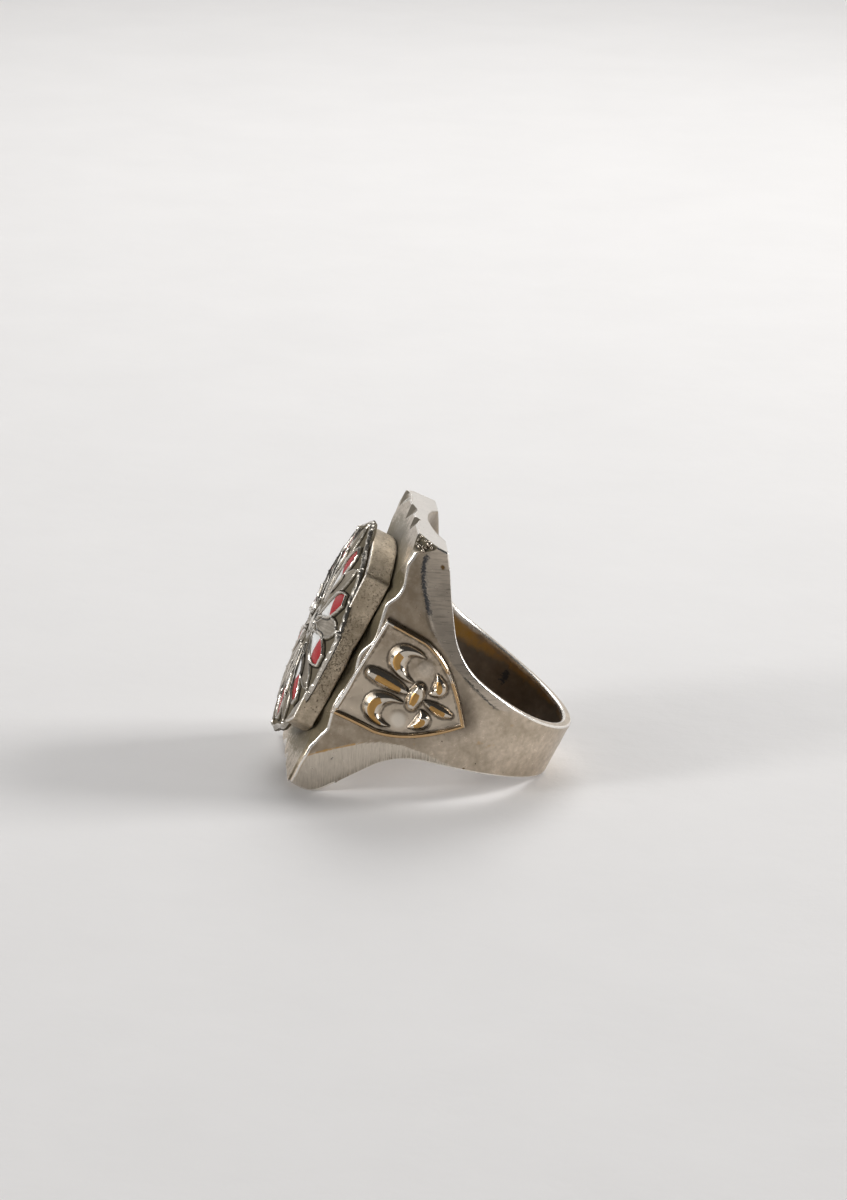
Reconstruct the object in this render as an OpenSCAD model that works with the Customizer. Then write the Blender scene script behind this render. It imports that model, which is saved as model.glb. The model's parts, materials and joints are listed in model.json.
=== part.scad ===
// Signet-style biker ring lying on its side: a cast band that widens into a
// tall plate head, a soldered fleur-de-lis shield on each shoulder, a riser
// block on the face and on it a domed oval rosette with enamelled petals.
//
// Ring frame used by the modules: the finger axis is Z, the face looks to -X
// and the two shoulders are at -Y and +Y. Three plain words are used for it:
// n is the distance from the finger axis toward the face (n = -x), l is the
// place along the finger (l = z), and s is the distance sideways (s = |y|).
// place() lays the finished ring down on the lower end of its head and on the
// back of its band, with the origin under the middle of its box.

/* [Finger] */
// Diameter of the finger hole
finger_d = 19.8; // [19.4:0.1:20.2]
// Wall of the band at the back
band_wall = 0.9; // [0.8:0.05:1.1]
// Half width of the band at the back
band_half_w = 2.6; // [2.4:0.05:2.8]
// How far the band sits below the middle of the head
band_drop = 0.4; // [0.2:0.05:0.5]

/* [Head] */
// From the finger axis to the face of the head
face_n = 11.6; // [11.4:0.1:12]
// Half length of the head along the finger
head_half_l = 13.05; // [12.8:0.05:13.3]
// Slant of the two shoulders toward the face, in degrees
side_slant = 14.3; // [13.5:0.1:15]
// Rounding of the head's lower rear corner
low_corner_r = 2.2; // [1.6:0.1:2.4]
// Rounding of the head's upper rear corner
top_corner_r = 0.4; // [0.3:0.1:0.8]

/* [Shoulders] */
// Flare of the band's edges at the back, in degrees
edge_flare = 3; // [2:0.5:4]
// Radius of the long flare from the back to the sweep
flare_r = 58; // [54:1:64]
// Radius of the hollow sweep from band to head
sweep_r = 7.5; // [7:0.1:8]
// Rise of the edges behind the head, in degrees
edge_rise = 56.5; // [55:0.5:58]
// Start of the upper sweep, from the finger axis toward the face
upper_start_n = 0.5; // [0:0.1:1]
// Start of the lower sweep
lower_start_n = 1.5; // [1:0.1:2]
// Width of the bevel along the shoulder's edges
bevel_w = 2.3; // [1.8:0.1:2.5]
// Depth of that bevel at the edge
bevel_d = 0.3; // [0.2:0.05:0.4]

/* [Face edge] */
// Depth of the scallops along the long edges of the face
scallop_d = 0.65; // [0.4:0.05:0.8]
// Depth of the file notches across the two ends of the face
notch_d = 0.9; // [0.6:0.1:1.1]

/* [Shield] */
// Length of each shield, from its straight edge to its point
shield_l = 10.9; // [10.5:0.1:11.1]
// Half width of each shield
shield_half_w = 5.15; // [4.9:0.05:5.3]
// Height of the raised rim and of the fleur-de-lis
relief_h = 0.35; // [0.2:0.05:0.45]

/* [Riser] */
// Half width of the riser block
riser_half_w = 7.4; // [7.2:0.1:7.6]
// Half length of its straight sides
riser_half_l = 7.6; // [7.4:0.1:7.8]
// Gap between the face and the riser, all round its foot
riser_gap = 0.25; // [0.15:0.05:0.3]
// Height of the riser above the face
riser_h = 2.4; // [2.3:0.1:2.6]

/* [Rosette] */
// Half length of the rosette
rosette_half_l = 11; // [10.8:0.1:11.2]
// Half width of the rosette
rosette_half_w = 8.9; // [8.7:0.1:9]
// Height of its dome above its edge
dome_h = 0.75; // [0.7:0.05:0.9]
// How much lower the edge lies at the two sides than at the ends
side_sag = 0.3; // [0.2:0.05:0.35]
// Thickness of its edge
rosette_edge = 0.38; // [0.34:0.02:0.46]
// Number of enamelled petals, with a plain one between each pair
petals = 10; // [10:1:10]

/* [Hidden] */
$fn = 96;
WHITE_NAMES = [for (k = [1:petals]) str("enamel_white_", k)];
RED_NAMES = [for (k = [1:petals]) str("enamel_red_", k)];

finger_r = finger_d / 2;
band_r = finger_r + band_wall;
// Running clearance between separate pieces, and the overlap that fuses one
fit = 0.05;
bite = 0.02;
// Larger than the ring in every direction
big = 40;

// Points of an arc about c, from angle a0 to a1
function arc(c, r, a0, a1, steps) =
    [for (i = [0:steps]) let (a = a0 + (a1 - a0) * i / steps) c + r * [cos(a), sin(a)]];
function unit(v) = v / norm(v);
// The corner p of a path, rounded with radius r between its neighbours
function rounded(before, p, after, r, steps) =
    let (
        u = unit(before - p),
        v = unit(after - p),
        half = acos(u * v) / 2,
        c = p + unit(u + v) * r / sin(half),
        p0 = p + u * r / tan(half),
        a0 = atan2(p0[1] - c[1], p0[0] - c[0]),
        cross = u[0] * v[1] - u[1] * v[0],
        turn = (180 - 2 * half) * (cross > 0 ? -1 : 1)
    )
    arc(c, r, a0, a0 + turn, steps);
// A path's points [n, l] turned into drawing points [x, y] = [-n, l]
function drawn(path) = [for (p = path) [-p[0], p[1]]];

// One edge of the shoulder seen from the side, as the distance from the middle
// over n: a long flare, a hollow sweep and a straight rise to the head's rear
// corner. Its data are [start of the flare, end angle of the flare, its end
// point, centre of the sweep, start of the rise, rear corner]
function edge_data(half_w, start_n) =
    let (
        p0 = [-band_r, half_w],
        turn = asin(sin(edge_flare) + (start_n + band_r) / flare_r),
        p1 = p0 + flare_r * [sin(turn) - sin(edge_flare), cos(edge_flare) - cos(turn)],
        c = p1 + sweep_r * [-sin(turn), cos(turn)],
        p2 = c + sweep_r * [sin(edge_rise), -cos(edge_rise)]
    )
    [p0, turn, p1, c, p2, p2 + (head_half_l - p2[1]) * [cos(edge_rise) / sin(edge_rise), 1]];
upper = edge_data(band_half_w - band_drop, upper_start_n);
lower = edge_data(band_half_w + band_drop, lower_start_n);
head_end = [face_n, head_half_l];

function edge_path(e, corner_r) = concat(
    [e[0] - [1, tan(edge_flare)]],
    arc(e[0] + flare_r * [-sin(edge_flare), cos(edge_flare)], flare_r, edge_flare - 90, e[1] - 90, 7),
    arc(e[3], sweep_r, e[1] - 85, edge_rise - 90, 9),
    rounded(e[4], e[5], head_end, corner_r, 6),
    [head_end]);
function flipped(path) = [for (i = [len(path) - 1:-1:0]) [path[i][0], -path[i][1]]];

// Shoulder plane: it touches the band's circle at the slant's angle
function side_s(n) = band_r / cos(side_slant) - n * tan(side_slant);
touch_n = band_r * sin(side_slant);

// The ring rests on the rounded lower corner of the head and on the band's
// lower back edge; the tilt brings both to the same height
low_back = unit(lower[4] - lower[5]);
low_arc_c = lower[5] + unit(low_back + [1, 0]) * low_corner_r / sin(acos(low_back[0]) / 2);
rest_run = low_arc_c - lower[0];
tilt = atan(rest_run[1] / rest_run[0]) + asin(low_corner_r / norm(rest_run));
rest_drop = band_r * sin(tilt) + lower[0][1] * cos(tilt);

// Whole band and head without its ornament
module casting_blank() {
    intersection() {
        rotate([90, 0, 0])
            linear_extrude(big, center = true)
                polygon(drawn(concat(edge_path(upper, top_corner_r), flipped(edge_path(lower, low_corner_r)))));
        union() {
            cylinder(h = big, r = band_r, center = true);
            linear_extrude(big, center = true)
                polygon([for (p = [
                    [touch_n, side_s(touch_n) - bite], [face_n, side_s(face_n) - bite],
                    [face_n, bite - side_s(face_n)], [touch_n, bite - side_s(touch_n)]
                ]) [-p[0], p[1]]]);
        }
    }
}

// The bevel follows the shoulder's edge at the head and fades out where the
// band's circle falls away from the shoulder plane. Along the sweep it is a
// cone and along the straight rise a plane, both square to that plane.
module on_side_plane() {
    rotate([0, 0, -side_slant]) translate([0, -band_r, 0]) children();
}
function plane_x(n) = -(n - touch_n) / cos(side_slant);
module bevel(e) {
    lift = 0.5;
    sink = bevel_d + 0.1;
    rise_l = 10;
    slope = bevel_w / bevel_d;
    on_side_plane() {
        translate([plane_x(e[3][0]), -lift, e[3][1]]) rotate([-90, 0, 0])
            cylinder(h = lift + sink,
                r1 = sweep_r + bevel_w + lift * slope, r2 = sweep_r + bevel_w - sink * slope);
        translate([plane_x(e[4][0]), 0, e[4][1]]) rotate([0, 90 + edge_rise, 0])
            translate([-bite, 0, bevel_d - rise_l]) linear_extrude(rise_l)
                polygon([
                    [bevel_w + lift * slope, -lift], [bevel_w - sink * slope, sink],
                    [bevel_w - sink * slope, -lift]]);
    }
}
module shoulder_bevels() {
    for (my = [0, 1]) mirror([0, my, 0]) {
        bevel(upper);
        mirror([0, 0, 1]) bevel(lower);
    }
}

// Cusps of the scallops along the face's long edges, from the top end down
scallop_cusps = [11.8, 6.3, 0.9, -5, -8.8];
module scallops() {
    for (my = [0, 1], i = [0:len(scallop_cusps) - 2]) {
        chord = scallop_cusps[i] - scallop_cusps[i + 1];
        middle = (scallop_cusps[i] + scallop_cusps[i + 1]) / 2;
        r = (chord * chord / 4 + scallop_d * scallop_d) / (2 * scallop_d);
        out = (r - scallop_d) / sqrt(2);
        mirror([0, my, 0])
            translate([-face_n - out, -side_s(face_n) - out, middle])
                rotate([0, 0, -45]) rotate([0, 90, 0])
                    cylinder(h = 16, r = r, center = true);
    }
}

// File notches across the end edges of the face: places sideways, and the
// half width of the file
notch_places = [-7.2, -1.7, 3.1];
notch_half_w = 1.9;
module end_notches() {
    for (mz = [0, 1], s = notch_places)
        mirror([0, 0, mz])
            translate([-face_n, -s, head_half_l]) rotate([0, -45, 0]) rotate([90, 0, 90])
                linear_extrude(6, center = true)
                    polygon([[0, -notch_d], [notch_half_w, 1], [-notch_half_w, 1]]);
}

// Shield drawing plane: x runs from the face toward the back and its origin is
// at the finger axis' height, y is along the finger. The plate leans a little
// less than the shoulder, and its straight edge stands furthest proud
shield_tilt = 12;
shield_point_n = 0.1;
shield_edge_s = 8.86;
shield_deep = 0.9;
shield_rim_w = 0.55;
shield_out = shield_edge_s + (shield_point_n + shield_l) * tan(shield_tilt);
module on_shoulder() {
    translate([0, -shield_out, 0]) rotate([0, 0, -shield_tilt]) rotate([90, 0, 0]) children();
}
// The shield's outline: straight edge, nearly straight flanks and two arcs to
// the point; inset narrows it all round
function shield_outline(inset) =
    let (
        top = shield_point_n + shield_l - inset,
        w = shield_half_w - inset,
        hip = shield_point_n + 0.62 * shield_l,
        tip = shield_point_n + 1.35 * inset,
        side = [for (i = [0:8]) let (t = i / 8)
            [hip + (tip - hip) * t, w * (1 - 0.22 * t - 0.78 * t * t)]]
    )
    concat([[top, -w], [top, w]], side, [for (i = [7:-1:0]) [side[i][0], -side[i][1]]]);
module shield_plate() {
    translate([0, 0, -shield_deep]) linear_extrude(shield_deep) polygon(drawn(shield_outline(0)));
    translate([0, 0, -bite]) linear_extrude(relief_h + bite)
        difference() {
            polygon(drawn(shield_outline(0)));
            polygon(drawn(shield_outline(shield_rim_w)));
        }
}
// A leaf between two tips, as the overlap of two equal circles
module leaf(from, to, w) {
    run = to - from;
    half = norm(run) / 2;
    r = (half * half + w * w / 4) / w;
    translate((from + to) / 2) rotate(atan2(run[1], run[0]))
        intersection() {
            translate([0, r - w / 2]) circle(r);
            translate([0, w / 2 - r]) circle(r);
        }
}
// One curled side petal of the lily, above the middle line
module curled_petal() {
    difference() {
        translate([-7.3, 2.05]) circle(1.85);
        translate([-6.55, 2.5]) circle(1.35);
        translate([-7.5, -1.8]) square([4, 3.1]);
    }
    leaf([-9.05, 1.75], [-5.9, 0.9], 1.3);
}
module fleur_de_lis() {
    translate([0, 0, -bite]) {
        linear_extrude(relief_h + bite) leaf([-10.1, 0], [-5.4, 0], 1.7);
        for (m = [0, 1]) mirror([0, m, 0]) {
            linear_extrude(relief_h - 0.05 + bite) curled_petal();
            linear_extrude(relief_h - 0.03 + bite) leaf([-4.9, 0.5], [-3.2, 2.6], 1.2);
        }
        linear_extrude(relief_h - 0.06 + bite) leaf([-5.2, 0], [-1.9, 0], 1.3);
        linear_extrude(relief_h + 0.12 + bite) translate([-5.95, -1.25]) square([1, 2.5]);
    }
}
module shields() {
    for (my = [0, 1]) mirror([0, my, 0]) on_shoulder() {
        shield_plate();
        fleur_de_lis();
    }
}

module band() {
    color("darkgray")
        place()
            difference() {
                union() {
                    difference() {
                        casting_blank();
                        shoulder_bevels();
                        scallops();
                        end_notches();
                    }
                    shields();
                }
                cylinder(h = big, r = finger_r, center = true);
            }
}

// The riser's straight sides end in two broad arcs; inset narrows it
riser_rise = 2.2;
foot_inset = 1.1;
function riser_outline(inset) =
    let (
        w = riser_half_w - inset,
        rise = riser_rise * w / riser_half_w,
        r = (w * w + rise * rise) / (2 * rise),
        a = asin(w / r),
        l = riser_half_l - inset / 2
    )
    concat(
        arc([0, l + rise - r], r, 90 + a, 90 - a, 10),
        arc([0, r - l - rise], r, a - 90, -90 - a, 10));
// Ring frame with drawing x = s toward -Y, drawing y = l, and height = n
module on_face(n) {
    translate([-n, 0, 0]) rotate([0, -90, 0]) rotate([0, 0, -90]) children();
}

// Planes that lean along the finger: height n at the middle, and rise per mm
riser_top = [face_n + riser_h, 0.026];
seat_floor = [face_n + 1.95, 0.054];
module above(plane) {
    on_face(plane[0])
        rotate([atan(plane[1]), 0, 0])
            translate([-big / 2, -big / 2, 0]) cube([big, big, big / 2]);
}
rosette_l = -0.4;
seat_margin = 0.2;
module riser() {
    color("gray")
        place()
            difference() {
                union() {
                    on_face(face_n + riser_gap)
                        linear_extrude(riser_h + 1) polygon(riser_outline(0));
                    on_face(face_n + fit)
                        linear_extrude(riser_gap) polygon(riser_outline(foot_inset));
                }
                above(riser_top);
                intersection() {
                    above(seat_floor);
                    on_face(face_n)
                        linear_extrude(big / 2)
                            polygon([for (a = [0:6:354])
                                [0, rosette_l] + (1 + seat_margin / rosette_half_w) * plan(1, a)]);
                }
            }
}

// The rosette, on a grid of rings (share of its radius) and rays (degrees).
// Ray 0 points to the near shoulder's side of the face; petal k is enamelled
sector = 360 / petals;
first_petal = 24;
ring_shares = [0.05, 0.1, 0.15, 0.22, 0.28, 0.31, 0.42, 0.54, 0.65, 0.76, 0.885, 0.91, 0.96, 1];
pocket_shares = [0.3, 0.9];
petal_half = 9.4;
// Half angle of the enamelled petal at a share of the radius: a pointed lens
function petal_w(q) = let (t = min(1, max(0, (q - 0.25) / 0.67)))
    petal_half * (0.26 + 0.74 * sin(180 * pow(t, 1.1)));
// Offsets of the rays in one sector, from the middle of the enamelled petal
function ray_offsets(q) = let (w = petal_w(q), rest = sector - 2 * w)
    concat([-w, -0.8 * w, 0, 0.8 * w, w], [for (i = [1:5]) w + rest * i / 6]);
// Height of the petals' relief over the dome at ray j of a ring
plain_relief = [0.02, -0.1, -0.15, -0.1, 0.02];
function relief(q, j) =
    q < 0.08 ? 0.28 : q < 0.12 ? 0.18 : q < 0.2 ? -0.05 :
    q > 0.93 && q < 0.98 ? 0.12 + 0.08 * (j % 2) :
    q > 0.98 ? -0.05 :
    j == 0 || j == 4 ? 0.14 :
    j > 4 ? plain_relief[j - 5] :
    q > pocket_shares[0] && q < pocket_shares[1] ? -0.32 : 0.05;
function dome(q) = dome_h * (1 - pow(q, 4));
// Plan of the outline as [s, l]: an oval drawn in by its power, so that its
// ends are more pointed than an ellipse's, with one lobe to each petal
oval_power = 1.7;
function oval(a) = pow(pow(abs(sin(a)), oval_power) + pow(abs(cos(a)), oval_power), -1 / oval_power);
function lobe(q, a) = 1 + 0.025 * q * q * cos(petals * (a - first_petal) + 180);
function plan(q, a) =
    q * oval(a) * lobe(q, a) * [rosette_half_w * sin(a), rosette_half_l * cos(a)];
edge_base = seat_floor[0] + fit + rosette_edge + side_sag;
// Point of the rosette in ring coordinates for share q, ray angle a, height h
function rosette_point(q, a, h) =
    let (p = plan(q, a), l = rosette_l + p[1])
    [-(edge_base + seat_floor[1] * l - side_sag * pow(p[0] / rosette_half_w, 2) + h), -p[0], l];
rays = 10;
module rosette() {
    m = petals * rays;
    top = [for (q = ring_shares) let (off = ray_offsets(q))
        for (k = [0:petals - 1], j = [0:rays - 1])
            rosette_point(q, first_petal + sector * k + off[j], dome(q) + relief(q, j))];
    last = len(ring_shares) - 1;
    low = [let (off = ray_offsets(1)) for (k = [0:petals - 1], j = [0:rays - 1])
        let (a = first_petal + sector * k + off[j])
            rosette_point(1, a, side_sag * (pow(plan(1, a)[0] / rosette_half_w, 2) - 1) - rosette_edge)];
    hub = [rosette_point(0, 0, dome(0) + 0.32), rosette_point(0, 0, -rosette_edge - side_sag)];
    t = m * (last + 2);
    color("silver")
        place()
            polyhedron(
                points = concat(top, low, hub),
                faces = concat(
                    [for (i = [0:last], j = [0:m - 1]) let (a = m * i, k = (j + 1) % m)
                        each [[a + j, a + k, a + m + k], [a + j, a + m + k, a + m + j]]],
                    [for (j = [0:m - 1]) let (k = (j + 1) % m)
                        each [[t, k, j], [t + 1, t - m + j, t - m + k]]]));
}

// One enamel inlay: a flat prism in its pocket, between two ring shares. Its
// plane passes through the dome at both its ends and leans with it sideways
inlay_w = 0.68;
inlay_top = 0.08;
inlay_bottom = 0.24;
module inlay(k, shares) {
    a = first_petal + sector * k;
    function at(q, turn) = rosette_point(q, a + turn, dome(q));
    last = len(shares) - 1;
    middle = (shares[0] + shares[last]) / 2;
    p0 = at(shares[0], 0);
    along = unit(at(shares[last], 0) - p0);
    slope = unit(cross(along, at(middle, petal_w(middle)) - at(middle, -petal_w(middle))));
    up = slope[0] > 0 ? -slope : slope;
    across = cross(up, along);
    side = [for (j = [-1, 1]) [for (q = shares)
        let (p = at(q, j * inlay_w * petal_w(q)) - p0) [p * along, p * across]]];
    place()
        multmatrix([for (i = [0:2]) [along[i], across[i], up[i], p0[i] - inlay_bottom * up[i]]])
            linear_extrude(inlay_bottom - inlay_top)
                polygon(concat(side[0], [for (i = [last:-1:0]) side[1][i]]));
}
white_shares = [0.34, 0.44, 0.54, 0.62];
red_shares = [0.63, 0.71, 0.8, 0.87];
module enamel_white(k) { color("white") inlay(k, white_shares); }
module enamel_red(k) { color("firebrick") inlay(k, red_shares); }

// The box along X: the back of the band on one side, on the other the lowest
// lobe of the rosette's edge
x_back = band_r * cos(tilt) + upper[0][1] * sin(tilt);
x_front = min([for (q = [0.96, 1], k = [0:petals - 1], j = [0:rays - 1])
    let (p = rosette_point(q, first_petal + sector * k + ray_offsets(q)[j], dome(q) + relief(q, j)))
        p[0] * cos(tilt) + p[2] * sin(tilt)]);
module place() {
    translate([-(x_back + x_front) / 2, 0, rest_drop]) rotate([0, tilt, 0]) children();
}

band();
riser();
rosette();
for (k = [0:petals - 1]) {
    enamel_white(k);
    enamel_red(k);
}
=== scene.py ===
"""Looks of a signet-style biker ring that lies on its side: worn cast metal, a fleur-de-lis shield on each
shoulder, a riser block and a domed rosette with enamelled petals.

All shapes are worked out in ring coordinates in millimetres: n is the distance from the finger axis toward
the face, l the place along the finger and s the distance sideways, positive toward the near shoulder.
"""

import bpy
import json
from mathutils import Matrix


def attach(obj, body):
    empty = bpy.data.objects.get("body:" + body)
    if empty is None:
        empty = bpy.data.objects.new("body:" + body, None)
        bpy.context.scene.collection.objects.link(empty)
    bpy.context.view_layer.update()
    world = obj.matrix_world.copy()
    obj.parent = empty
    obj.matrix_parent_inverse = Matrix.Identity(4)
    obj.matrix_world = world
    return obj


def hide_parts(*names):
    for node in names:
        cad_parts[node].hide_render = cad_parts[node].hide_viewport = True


bl_info = {
    "name": "Biker ring",
    "version": (1, 0, 0),
    "blender": (4, 5, 0),
    "location": "View3D > Sidebar > Ring",
    "description": "Builds the looks of a worn signet-style ring around its packed solids",
    "category": "Add Mesh",
}

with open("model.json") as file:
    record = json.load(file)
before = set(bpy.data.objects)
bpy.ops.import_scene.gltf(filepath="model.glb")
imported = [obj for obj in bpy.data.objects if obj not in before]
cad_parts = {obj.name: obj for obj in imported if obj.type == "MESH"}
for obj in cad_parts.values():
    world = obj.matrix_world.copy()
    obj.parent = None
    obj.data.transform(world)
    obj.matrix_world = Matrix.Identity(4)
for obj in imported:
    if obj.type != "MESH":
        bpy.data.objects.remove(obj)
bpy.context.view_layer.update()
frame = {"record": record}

import json
import math

import bpy
import numpy as np
from bpy.props import FloatProperty, FloatVectorProperty, PointerProperty
from mathutils import Matrix, Vector

MM = 0.001
HOLE = frame["record"]["mounts"][0]
CENTRE = np.array(HOLE["pos_m"], float)
TILT = math.atan2(HOLE["axis"][0], HOLE["axis"][2])
FINGER_R = HOLE["dims"]["r_mm"]

# Sizes shared with the solids, in millimetres
BAND_R = FINGER_R + 0.9
FACE_N = 11.6
HEAD_L = 13.05
SLANT = math.radians(14.3)
TOUCH_N = BAND_R * math.sin(SLANT)
REAR_N = 8.54
FLARE, FLARE_R = math.radians(3), 58.0
SWEEP_R, EDGE_RISE = 7.5, math.radians(56.5)


def to_world(q):
    """Ring coordinates (n, l, s) in mm to metres: the finger axis is turned by the tilt about the sideways
    axis."""
    n, l, s = np.moveaxis(np.asarray(q, float), -1, 0)
    c, d = math.cos(TILT), math.sin(TILT)
    return np.stack([CENTRE[0] + MM * (l * d - n * c), -MM * s, CENTRE[2] + MM * (n * d + l * c)], -1)


def smooth(x, low, high):
    """0 below low, 1 above high, and between them three times the square of the share of the way less twice
    its cube."""
    t = np.clip((np.asarray(x, float) - low) / (high - low), 0, 1)
    return t * t * (3 - 2 * t)


def blob(x, width):
    """A soft bump: 1 where x is 0, and the exponential of minus the square of x over the width."""
    return np.exp(-np.square(np.asarray(x, float) / width))


def unit(v):
    """Vectors of length 1."""
    return v / np.maximum(np.linalg.norm(v, axis=-1, keepdims=True), 1e-9)


def line_distance(x, y, line):
    """Distance of the points (x, y) from a line of straight pieces: the least distance over its pieces."""
    line = np.asarray(line, float)
    a, d = line[:-1], line[1:] - line[:-1]
    px, py = x[..., None] - a[:, 0], y[..., None] - a[:, 1]
    t = np.clip((px * d[:, 0] + py * d[:, 1]) / (d ** 2).sum(1), 0, 1)
    return np.sqrt(np.min((px - t * d[:, 0]) ** 2 + (py - t * d[:, 1]) ** 2, axis=-1))


def inside(x, y, outline):
    """Whether the points (x, y) lie in a closed outline: an odd number of its sides is crossed toward +x."""
    p = np.asarray(outline, float)
    q = np.roll(p, -1, axis=0)
    x, y = x[..., None], y[..., None]
    crosses = (p[:, 1] > y) != (q[:, 1] > y)
    rise = np.where(q[:, 1] == p[:, 1], 1, q[:, 1] - p[:, 1])
    at = p[:, 0] + (y - p[:, 1]) * (q[:, 0] - p[:, 0]) / rise
    return (np.sum(crosses & (at > x), axis=-1) % 2) == 1


def ripples(x, y, seed, waves=7, pitch=4.0):
    """Gentle unevenness of a hand-filed surface: a sum of sines with seeded directions and lengths, about
    -1 to 1."""
    rng = np.random.default_rng(seed)
    total = np.zeros(np.broadcast(x, y).shape)
    for _ in range(waves):
        angle = rng.uniform(0, math.tau)
        rate = rng.uniform(0.6, 1.6) * math.tau / pitch
        start = rng.uniform(0, math.tau)
        total = total + np.sin(rate * (x * math.cos(angle) + y * math.sin(angle)) + start)
    return total / math.sqrt(waves)


# Meshes

def grid_faces(rows, cols, close_rows=False, close_cols=False, start=0):
    """Corner numbers of the four-sided faces of a grid whose points run row by row."""
    i = np.arange(rows if close_rows else rows - 1)[:, None]
    j = np.arange(cols if close_cols else cols - 1)[None, :]
    i2, j2 = (i + 1) % rows, (j + 1) % cols
    return np.stack([i * cols + j, i * cols + j2, i2 * cols + j2, i2 * cols + j], -1).reshape(-1, 4) + start


def fan_faces(ring, centre, flip=False):
    """Triangles from each pair of neighbours on a closed ring of points to one centre point."""
    after = np.roll(ring, -1)
    tri = np.stack([ring, after, np.full(len(ring), centre)], -1)
    return tri[:, ::-1] if flip else tri


def border(index):
    """Numbers of the points round the border of a grid of them, in order."""
    return np.concatenate([index[0, :], index[1:, -1], index[-1, -2::-1], index[-2:0:-1, 0]])


def add_object(name, data):
    """A new object in the scene's own collection."""
    new = bpy.data.objects.new(name, data)
    bpy.context.scene.collection.objects.link(new)
    return new


def make_piece(name, points, faces, values=None):
    """A smooth-shaded mesh object from points in metres and faces of three or four corners, turned so that
    its faces point outwards: the sum of the signed volumes under its faces is made positive."""
    points = np.asarray(points, float).reshape(-1, 3)
    volume = 0.0
    for f in faces:
        a, b, c = points[f[:, 0]], points[f[:, 1]], points[f[:, 2]]
        volume += np.einsum("ij,ij->", a, np.cross(b, c))
        if f.shape[1] == 4:
            volume += np.einsum("ij,ij->", a, np.cross(c, points[f[:, 3]]))
    if volume < 0:
        faces = [f[:, ::-1] for f in faces]
    mesh = bpy.data.meshes.new(name)
    mesh.from_pydata(points.tolist(), [], [c for f in faces for c in f.tolist()])
    mesh.polygons.foreach_set("use_smooth", np.ones(len(mesh.polygons), bool))
    for key, value in (values or {}).items():
        layer = mesh.attributes.new(key, "FLOAT", "POINT")
        layer.data.foreach_set("value", np.asarray(value, np.float32).ravel())
    mesh.update()
    return add_object(name, mesh)


def settle(piece, material, slot, *nodes):
    """Gives a finished piece its material and its body, and hides the solids that it stands for. The slot is
    not used.
    """
    piece.data.materials.append(material)
    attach(piece, "root")
    if nodes:
        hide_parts(*nodes)
    return piece


# Materials

def rgba(shade):
    """A colour or a grey as the four numbers of a colour socket."""
    return (*shade, 1.0) if hasattr(shade, "__len__") else (shade, shade, shade, 1.0)


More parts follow.
